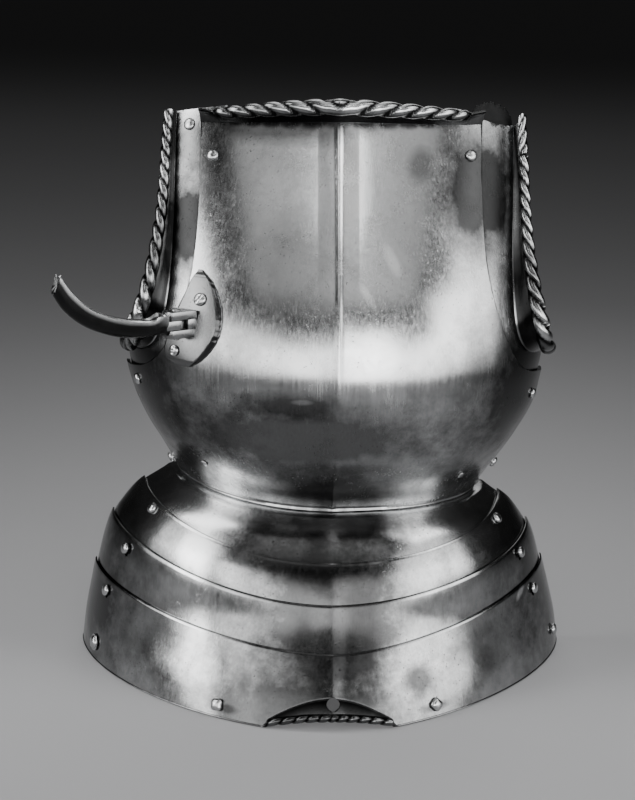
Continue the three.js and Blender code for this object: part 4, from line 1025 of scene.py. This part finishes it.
def pin_piece():
    """The hinge pin: a shank with a hammered head at each end."""
    half = CHEEK_MID + CHEEK / 2 + JOINT_GAP
    end = np.array([[1.4, 1.75], [2.6, 1.35], [3.5, 0.7], [3.9, 0.12], [3.7, 0.0], [2.6, 0.0]])
    upper = end + [0, half]
    profile = np.concatenate([upper, (upper * [1, -1])[::-1]])
    b = circle(28)
    ring = stack(profile[:, :1] * np.cos(b), profile[:, :1] * np.sin(b),
                 profile[:, 1:] + 0 * b[None, :])
    points = np.concatenate([[[0, 0, half + 1.8]], ring.reshape(-1, 3), [[0, 0, -half - 1.8]]])
    return put_mesh("lance_rest_pin_turned", on_pin(points), capped_faces(len(profile), 28), 35)


pin = pin_piece()
print("tongue and pin:", len(tongue.data.polygons), len(pin.data.polygons), "faces")

# %% [markdown]
# Old polished steel is not one grey. Broad stains dull it, fine polishing lines run up and down,
# and clusters of small dark pits are left from rust. All of that comes from noise at several
# scales on Object coordinates, feeding colour, roughness and bump of one metal shader.


# %% Short ways to add nodes
def node(tree, kind, **values):
    """Adds a node; plain names set its properties and names ending in _ set its inputs."""
    made = tree.nodes.new(kind)
    for name, value in values.items():
        if name.endswith("_"):
            made.inputs[name[:-1].replace("_", " ")].default_value = value
        else:
            setattr(made, name, value)
    return made


def ramp(tree, source, stops):
    """A colour ramp of grey values at given places."""
    made = tree.nodes.new("ShaderNodeValToRGB")
    while len(made.color_ramp.elements) < len(stops):
        made.color_ramp.elements.new(0.5)
    for element, (place, grey) in zip(made.color_ramp.elements, stops):
        element.position = place
        element.color = (grey, grey, grey, 1)
    tree.links.new(source, made.inputs["Fac"])
    return made.outputs["Color"]


def blend(tree, kind, a, b, factor=1.0):
    """Two colours or values mixed in a given way."""
    made = tree.nodes.new("ShaderNodeMix")
    made.data_type, made.blend_type = "RGBA", kind
    made.inputs["Factor"].default_value = factor
    for socket, value in ((6, a), (7, b)):
        if isinstance(value, (int, float)):
            made.inputs[socket].default_value = (value, value, value, 1)
        else:
            tree.links.new(value, made.inputs[socket])
    return made.outputs[2]


def coordinates(tree):
    """Object coordinates, from one node that the whole material shares."""
    kind = "ShaderNodeTexCoord"
    made = next((n for n in tree.nodes if n.bl_idname == kind), None) or tree.nodes.new(kind)
    return made.outputs["Object"]


def mapped(tree, scale, kind="POINT", location=(0, 0, 0), tilt=0.0):
    """Object coordinates scaled by a number for each axis. The kind TEXTURE undoes a place, a tilt
    and a size instead, which brings an ellipse to the unit circle."""
    made = node(tree, "ShaderNodeMapping", vector_type=kind, Location_=location,
                Rotation_=(0, tilt, 0), Scale_=scale)
    tree.links.new(coordinates(tree), made.inputs["Vector"])
    return made.outputs["Vector"]


def noise(tree, scale, detail, roughness, warp=0.0, stretch=None):
    """Noise from 0 to 1 on the object coordinates, stretched where a scale is given for it."""
    made = node(tree, "ShaderNodeTexNoise", Scale_=scale, Detail_=detail, Roughness_=roughness,
                Distortion_=warp)
    place = mapped(tree, stretch) if stretch else coordinates(tree)
    tree.links.new(place, made.inputs["Vector"])
    return made.outputs["Fac"]


sample = bpy.data.materials.new("sample")
sample.use_nodes = True
noise(sample.node_tree, 9.0, 4, 0.6, stretch=(1, 1, 2))
print("nodes for one stretched noise:", len(sample.node_tree.nodes) - 2)
bpy.data.materials.remove(sample)

# %% [markdown]
# A mark is an ellipse seen from the front: x, z, half width and half height in millimetres, a tilt
# in degrees, and what it multiplies the colour by. It works in full in the inner half of the
# ellipse and is gone at its wavering edge. Below 1 it is painted shade; above 1 it is a painted
# highlight.

# %% Aged polished steel
# The last greys are those by which a plate's stored number darkens its colour as painted shade.
MARK_FULL, MARK_GONE, PAINTED_SHADE_GREYS = 0.30, 0.62, [(0.10, 0.03), (0.55, 0.55), (0.9, 1.0)]


def rust_pits(tree):
    """Small dark dots of a Voronoi texture: only some are kept, and more of them in patches."""
    cells = node(tree, "ShaderNodeTexVoronoi", Scale_=420.0, Randomness_=1.0)
    tree.links.new(coordinates(tree), cells.inputs["Vector"])
    dots = ramp(tree, cells.outputs["Distance"], [(0.10, 1.0), (0.30, 0.0)])
    chosen = ramp(tree, noise(tree, 210.0, 2, 0.5), [(0.53, 0.0), (0.62, 1.0)])
    patch = ramp(tree, noise(tree, 16.0, 4, 0.65, 0.3), [(0.40, 0.12), (0.68, 1.0)])
    return blend(tree, "MULTIPLY", blend(tree, "MULTIPLY", dots, chosen), patch)


def paint_light_marks(tree, colour, light_marks):
    """The colour multiplied by every mark: painted shade below 1, a painted highlight above 1."""
    wobble = ramp(tree, noise(tree, 55.0, 4, 0.7), [(0.25, 0.0), (0.75, 0.3)])
    # Each mark is painted shade below 1 and a painted highlight above 1.
    for x, z, wide, tall, tilt, change in light_marks:
        spot = mapped(tree, (wide / 1e3, 1e3, tall / 1e3), "TEXTURE", (x / 1e3, 0, z / 1e3),
                      np.radians(tilt))
        far = node(tree, "ShaderNodeVectorMath", operation="LENGTH")
        tree.links.new(spot, far.inputs[0])
        edge = blend(tree, "MULTIPLY", blend(tree, "ADD", far.outputs["Value"], wobble), 0.5)
        most = max(change, 1)      # a ramp's greys stay below 1, so a painted highlight is scaled up
        inside = ramp(tree, edge, [(MARK_FULL, change / most), (MARK_GONE, 1 / most)])
        if most > 1:
            inside = blend(tree, "MULTIPLY", inside, most)
        colour = blend(tree, "MULTIPLY", colour, inside)
    return colour


def relief(tree, lines, pitted, streaks, pits):
    """The surface's normal: fine polishing lines with cross lines and grain, then sunk pits."""
    across = noise(tree, 1.0, 3, 0.7, stretch=(60, 60, 420))
    height = blend(tree, "MIX", blend(tree, "MIX", lines, across, 0.25),
                   noise(tree, 2200.0, 2, 0.5), 0.25)
    first = node(tree, "ShaderNodeBump", Strength_=0.06 * streaks, Distance_=0.0004)
    tree.links.new(height, first.inputs["Height"])
    second = node(tree, "ShaderNodeBump", Strength_=0.25 * pits, Distance_=0.0004, invert=True)
    tree.links.new(pitted, second.inputs["Height"])
    tree.links.new(first.outputs["Normal"], second.inputs["Normal"])
    return second.outputs["Normal"]


def aged_steel(name, tone=0.64, rough=0.18, pits=1.0, streaks=1.0, use_painted_shade=False, light_marks=()):
    """Metal with faint stains, pits and polishing lines, and marks of painted shade and painted
    highlights; when asked, painted shade darkens the colour where a plate's stored number is low."""
    material = bpy.data.materials.new(name)
    material.use_nodes = True
    tree = material.node_tree
    shader = tree.nodes["Principled BSDF"]
    shader.inputs["Metallic"].default_value = 1.0
    cloud = noise(tree, 38.0, 5, 0.65, 0.3)
    lines = noise(tree, 1.0, 4, 0.7, stretch=(620, 620, 14))
    pitted = rust_pits(tree)

    stain = blend(tree, "MIX", noise(tree, 9.0, 4, 0.6, 0.4), cloud, 0.5)
    stain = ramp(tree, stain, [(0.34, 0.72), (0.50, 0.94), (0.64, 1.0)])
    brushed = ramp(tree, lines, [(0.32, 0.80), (0.62, 1.0)])
    colour = blend(tree, "MULTIPLY", blend(tree, "MULTIPLY", stain, tone), brushed, 0.7 * streaks)
    colour = paint_light_marks(tree, colour, light_marks)
    keep = tree.nodes.new("ShaderNodeInvert")
    tree.links.new(blend(tree, "MULTIPLY", pitted, 0.85 * pits), keep.inputs["Color"])
    colour = blend(tree, "MULTIPLY", colour, keep.outputs["Color"])
    # Painted shade: the colour multiplied by greys read from the plate's stored number per point.
    if use_painted_shade:
        crest = node(tree, "ShaderNodeAttribute", attribute_name="crest")
        colour = blend(tree, "MULTIPLY", colour, ramp(tree, crest.outputs["Fac"], PAINTED_SHADE_GREYS))
    tint = blend(tree, "MULTIPLY", colour, 1.0)
    tint.node.inputs[7].default_value = (0.985, 0.995, 1.0, 1)
    tree.links.new(tint, shader.inputs["Base Color"])

    gloss = ramp(tree, cloud, [(0.30, rough * 1.3), (0.52, rough), (0.75, rough * 0.85)])
    line_part = ramp(tree, lines, [(0.35, 0.75), (0.65, 1.25)])
    gloss = blend(tree, "MULTIPLY", gloss, line_part, 0.6 * streaks)
    gloss = blend(tree, "ADD", gloss, blend(tree, "MULTIPLY", pitted, 0.08))
    tree.links.new(gloss, shader.inputs["Roughness"])
    tree.links.new(relief(tree, lines, pitted, streaks, pits), shader.inputs["Normal"])
    return material


print("greys in the hollows of a rope:", PAINTED_SHADE_GREYS)

# %% Marks, and the steels of the pieces
# Marks of painted shade and painted highlights laid over the steel's reflections.
CHEST_PAINTED_LIGHT = [
    (67, 430, 13, 15, 20, 0.5), (108, 412, 30, 62, 0, 0.10), (-52, 458, 80, 16, 2, 0.30),
    (-32, 350, 38, 50, 8, 0.55), (-32, 251, 50, 14, 0, 0.3), (-26, 222, 150, 40, 0, 0.24),
    (44, 360, 5.0, 15, -28, 1.4), (25, 334, 3.5, 14, -30, 1.4), (-25, 255, 9, 2.6, 0, 2.6),
    (12, 424, 17, 62, 0, 2.0), (-100, 430, 20, 50, 0, 0.35), (0, 172, 76, 16, 0, 0.3),
    (-190, 230, 130, 110, 0, 0.12), (194, 240, 130, 116, 0, 0.12)]
GUSSET_PAINTED_LIGHT = [
    (-114, 380, 36, 48, 0, 0.06), (120, 406, 38, 68, 0, 0.06), (-112, 440, 34, 26, 0, 0.35),
    (152, 340, 22, 40, 0, 0.3), (-140, 345, 18, 36, 0, 0.4), (150, 270, 60, 36, 0, 0.1),
    (-150, 265, 60, 30, 0, 0.1)]
SKIRT_PAINTED_LIGHT = [
    (8, 143, 80, 14, 0, 0.2), (73, 30, 12, 17, -35, 0.35), (50, 35, 13, 9, 20, 1.4),
    (2, 80, 98, 90, 0, 0.20), (20, 70, 30, 66, 0, 0.5), (-20, 4, 140, 58, 0, 0.25),
    (-15, 122, 56, 26, 0, 0.4), (-240, 75, 124, 150, 0, 0.12), (240, 80, 140, 150, 0, 0.12),
    (-20, 66, 9, 14, 0, 0.7), (165, 71, 3.0, 7, 30, 4.0), (-81, 8, 10, 4, 0, 0.4),
    (86, 8, 14, 4, 0, 0.4)]
plate_steel = aged_steel("plate_steel", rough=0.22, use_painted_shade=True, light_marks=CHEST_PAINTED_LIGHT)
gusset_steel = aged_steel("gusset_steel", rough=0.22, use_painted_shade=True, light_marks=GUSSET_PAINTED_LIGHT)
skirt_steel = aged_steel("skirt_steel", use_painted_shade=True, light_marks=SKIRT_PAINTED_LIGHT)
rest_steel = aged_steel("rest_steel", tone=0.34, rough=0.22, pits=0.7, streaks=0.5)
moon_steel = aged_steel("moon_steel", tone=0.18, rough=0.22, pits=0.7, streaks=0.5, use_painted_shade=True)
arm_steel = aged_steel("arm_steel", tone=0.56, rough=0.20, pits=0.7, streaks=0.5, use_painted_shade=True)
rivet_steel = aged_steel("rivet_steel", tone=0.55, rough=0.24, pits=0.5, streaks=0.3)
old_iron = aged_steel("old_iron", tone=0.03, rough=0.5, streaks=0.3)
print("nodes in the plates' steel:", len(plate_steel.node_tree.nodes))

# %% [markdown]
# Each mesh takes its material, hides the solid it stands for and rides with the body it moves
# with. That is all the frame needs to pose the finished look.

# %% Dress the pieces and let them ride
DRESS = [
    (breast, plate_steel, "trunk", "bright_steel", "breastplate"),
    (gusset_right, gusset_steel, "trunk", "bright_steel", "gusset_right"),
    (gusset_left, gusset_steel, "trunk", "bright_steel", "gusset_left"),
    (waist, skirt_steel, "trunk", "bright_steel", "waist_plate"),
    (lame_1, skirt_steel, "trunk", "bright_steel", "fauld_lame_1"),
    (lame_2, skirt_steel, "lame_2", "bright_steel", "fauld_lame_2"),
    (lame_3, skirt_steel, "lame_3", "bright_steel", "fauld_lame_3"),
    (strap, old_iron, "trunk", "dark_steel", "strap_plate_left"),
    (moon, moon_steel, "trunk", "bright_steel", "lance_rest_bracket"),
    (cheek_top, rest_steel, "trunk", "bright_steel", "lance_rest_bracket"),
    (cheek_low, rest_steel, "trunk", "bright_steel", "lance_rest_bracket"),
    (block, rest_steel, "trunk", "bright_steel", "lance_rest_bracket"),
    (arm, arm_steel, "lance_arm", "bright_steel", "lance_rest_arm"),
    (tongue, rest_steel, "lance_arm", "bright_steel", "lance_rest_arm"),
    (pin, rivet_steel, "trunk", "dark_steel", "lance_rest_pin"),
]
DRESS += [(fasteners[name], rivet_steel, f["body"], "dark_steel", name)
          for name, f in FASTENINGS.items()]
for piece, material, body, slot_name, replaced in DRESS:
    piece.data.materials.append(material)
    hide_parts(replaced)
    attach(piece, body)
print("pieces dressed:", len(DRESS))

# %% [markdown]
# Polished plate shows its surroundings more than its own colour. A row of gridded softboxes round
# the front gives the chest its upright bands of light and dark: a strip's glow sets how bright its
# band is, and its azimuth where the band lies. The plain pale floor runs back a long way, and two
# lamps behind the object light it.

# %% Floor
floor_mesh = bpy.data.meshes.new("floor")
floor_mesh.from_pydata([(-60, -8, -0.0005), (60, -8, -0.0005), (60, 160, -0.0005),
                        (-60, 160, -0.0005)], [], [(0, 1, 2, 3)])
floor = bpy.data.objects.new("floor", floor_mesh)
bpy.context.scene.collection.objects.link(floor)
floor_paint = bpy.data.materials.new("pale_floor")
floor_paint.use_nodes = True
floor_shader = floor_paint.node_tree.nodes["Principled BSDF"]
floor_shader.inputs["Base Color"].default_value = (0.46, 0.46, 0.47, 1)
floor_shader.inputs["Roughness"].default_value = 0.8
floor_mesh.materials.append(floor_paint)
print("floor's corners:", len(floor_mesh.vertices))

# %% Softboxes
def softbox(name, azimuth, elevation, distance, wide, tall, spread, glow):
    """A gridded softbox facing the chest from a direction: azimuth 0 is in front, 90 to the right.
    Power = glow * pi * wide * tall, so lights of one glow look equally bright. The grid keeps
    most of the light off the floor beside the object, and the lamp itself isn't seen."""
    a, e = np.radians(azimuth), np.radians(elevation)
    way = Vector((np.sin(a) * np.cos(e), -np.cos(a) * np.cos(e), np.sin(e)))
    data = bpy.data.lights.new(name, "AREA")
    data.shape, data.size, data.size_y = "RECTANGLE", wide, tall
    data.energy = glow * np.pi * wide * tall
    data.spread = np.radians(spread)
    lamp = bpy.data.objects.new(name, data)
    lamp.location = Vector((0, 0, 0.25)) + way * distance
    lamp.rotation_mode = "QUATERNION"
    lamp.rotation_quaternion = way.to_track_quat("Z", "Y")
    lamp.visible_camera = False
    bpy.context.scene.collection.objects.link(lamp)


# name, azimuth, elevation, distance, wide, tall, spread of the grid, glow
SOFTBOXES = [
    ("strip_left_outer", -86, 14, 1.50, 0.40, 0.98, 60, 0.25),
    ("strip_left", -68, 14, 1.50, 0.50, 0.98, 60, 0.85),
    ("strip_left_inner", -45, 8, 1.50, 0.50, 0.56, 60, 0.34),
    ("strip_middle_left", -26, 8, 1.50, 0.50, 0.52, 60, 0.40),
    ("strip_middle", -7, 7, 1.50, 0.50, 0.50, 60, 0.46),
    ("strip_middle_right", 13, 8, 1.45, 0.50, 0.72, 60, 0.85),
    ("strip_right_inner", 32, 5, 1.40, 0.50, 0.56, 60, 0.46),
    ("strip_right", 51, 13, 1.40, 0.48, 0.98, 60, 0.56),
    ("strip_right_outer", 70, 13, 1.40, 0.46, 0.98, 60, 0.36),
    ("ridge_light", 5, 58, 1.50, 0.12, 0.30, 60, 0.90),
    ("upper_left", -82, 44, 1.70, 0.70, 0.70, 80, 0.95),
    ("upper_right", 70, 45, 1.70, 0.70, 0.70, 80, 0.80),
    ("upper_middle", 0, 45, 1.80, 1.80, 0.60, 90, 0.24),
    ("overhead", 0, 80, 1.30, 0.80, 0.80, 64, 0.12),
    ("behind", 180, 58, 2.30, 1.60, 1.20, 170, 0.85),
    ("far_behind", 180, 60, 6.00, 3.00, 3.00, 170, 0.80),
    ("back_fill", 168, 24, 2.20, 1.40, 0.90, 80, 0.22),
]
for row in SOFTBOXES:
    softbox(*row)
print("softboxes:", len(SOFTBOXES))

# %% [markdown]
# The room is nearly dark, so only the softboxes show in the steel. The camera stands a little above
# the neck and looks down, turned and rolled by small angles.

# %% Room and camera
WORLD_GREY = (0.014, 0.014, 0.014, 1)
CAMERA_AT = Vector((-0.06277, -1.31194, 0.58045))
YAW, TILT, ROLL = np.radians(2.8), np.radians(14.4), np.radians(1.3)
SENSOR, LENS, SHIFT_X = 36.0, 76.05, -0.0194

world = bpy.data.worlds.new("studio")
world.use_nodes = True
world.node_tree.nodes["Background"].inputs["Color"].default_value = WORLD_GREY
bpy.context.scene.world = world

ahead = Vector((np.sin(YAW) * np.cos(TILT), np.cos(YAW) * np.cos(TILT), -np.sin(TILT)))
level_right = ahead.cross(Vector((0, 0, 1))).normalized()
level_up = level_right.cross(ahead)
cam_right = level_right * np.cos(ROLL) + level_up * np.sin(ROLL)
cam_up = level_up * np.cos(ROLL) - level_right * np.sin(ROLL)
camera_data = bpy.data.cameras.new("camera")
camera_data.sensor_width = SENSOR
camera_data.lens = LENS
camera_data.shift_x = SHIFT_X
camera_data.clip_end = 400
camera = bpy.data.objects.new("camera", camera_data)
camera.matrix_world = Matrix((
    (cam_right.x, cam_up.x, -ahead.x, CAMERA_AT.x),
    (cam_right.y, cam_up.y, -ahead.y, CAMERA_AT.y),
    (cam_right.z, cam_up.z, -ahead.z, CAMERA_AT.z),
    (0, 0, 0, 1)))
bpy.context.scene.collection.objects.link(camera)
bpy.context.scene.camera = camera
print("camera stands at:", tuple(round(c, 3) for c in CAMERA_AT))
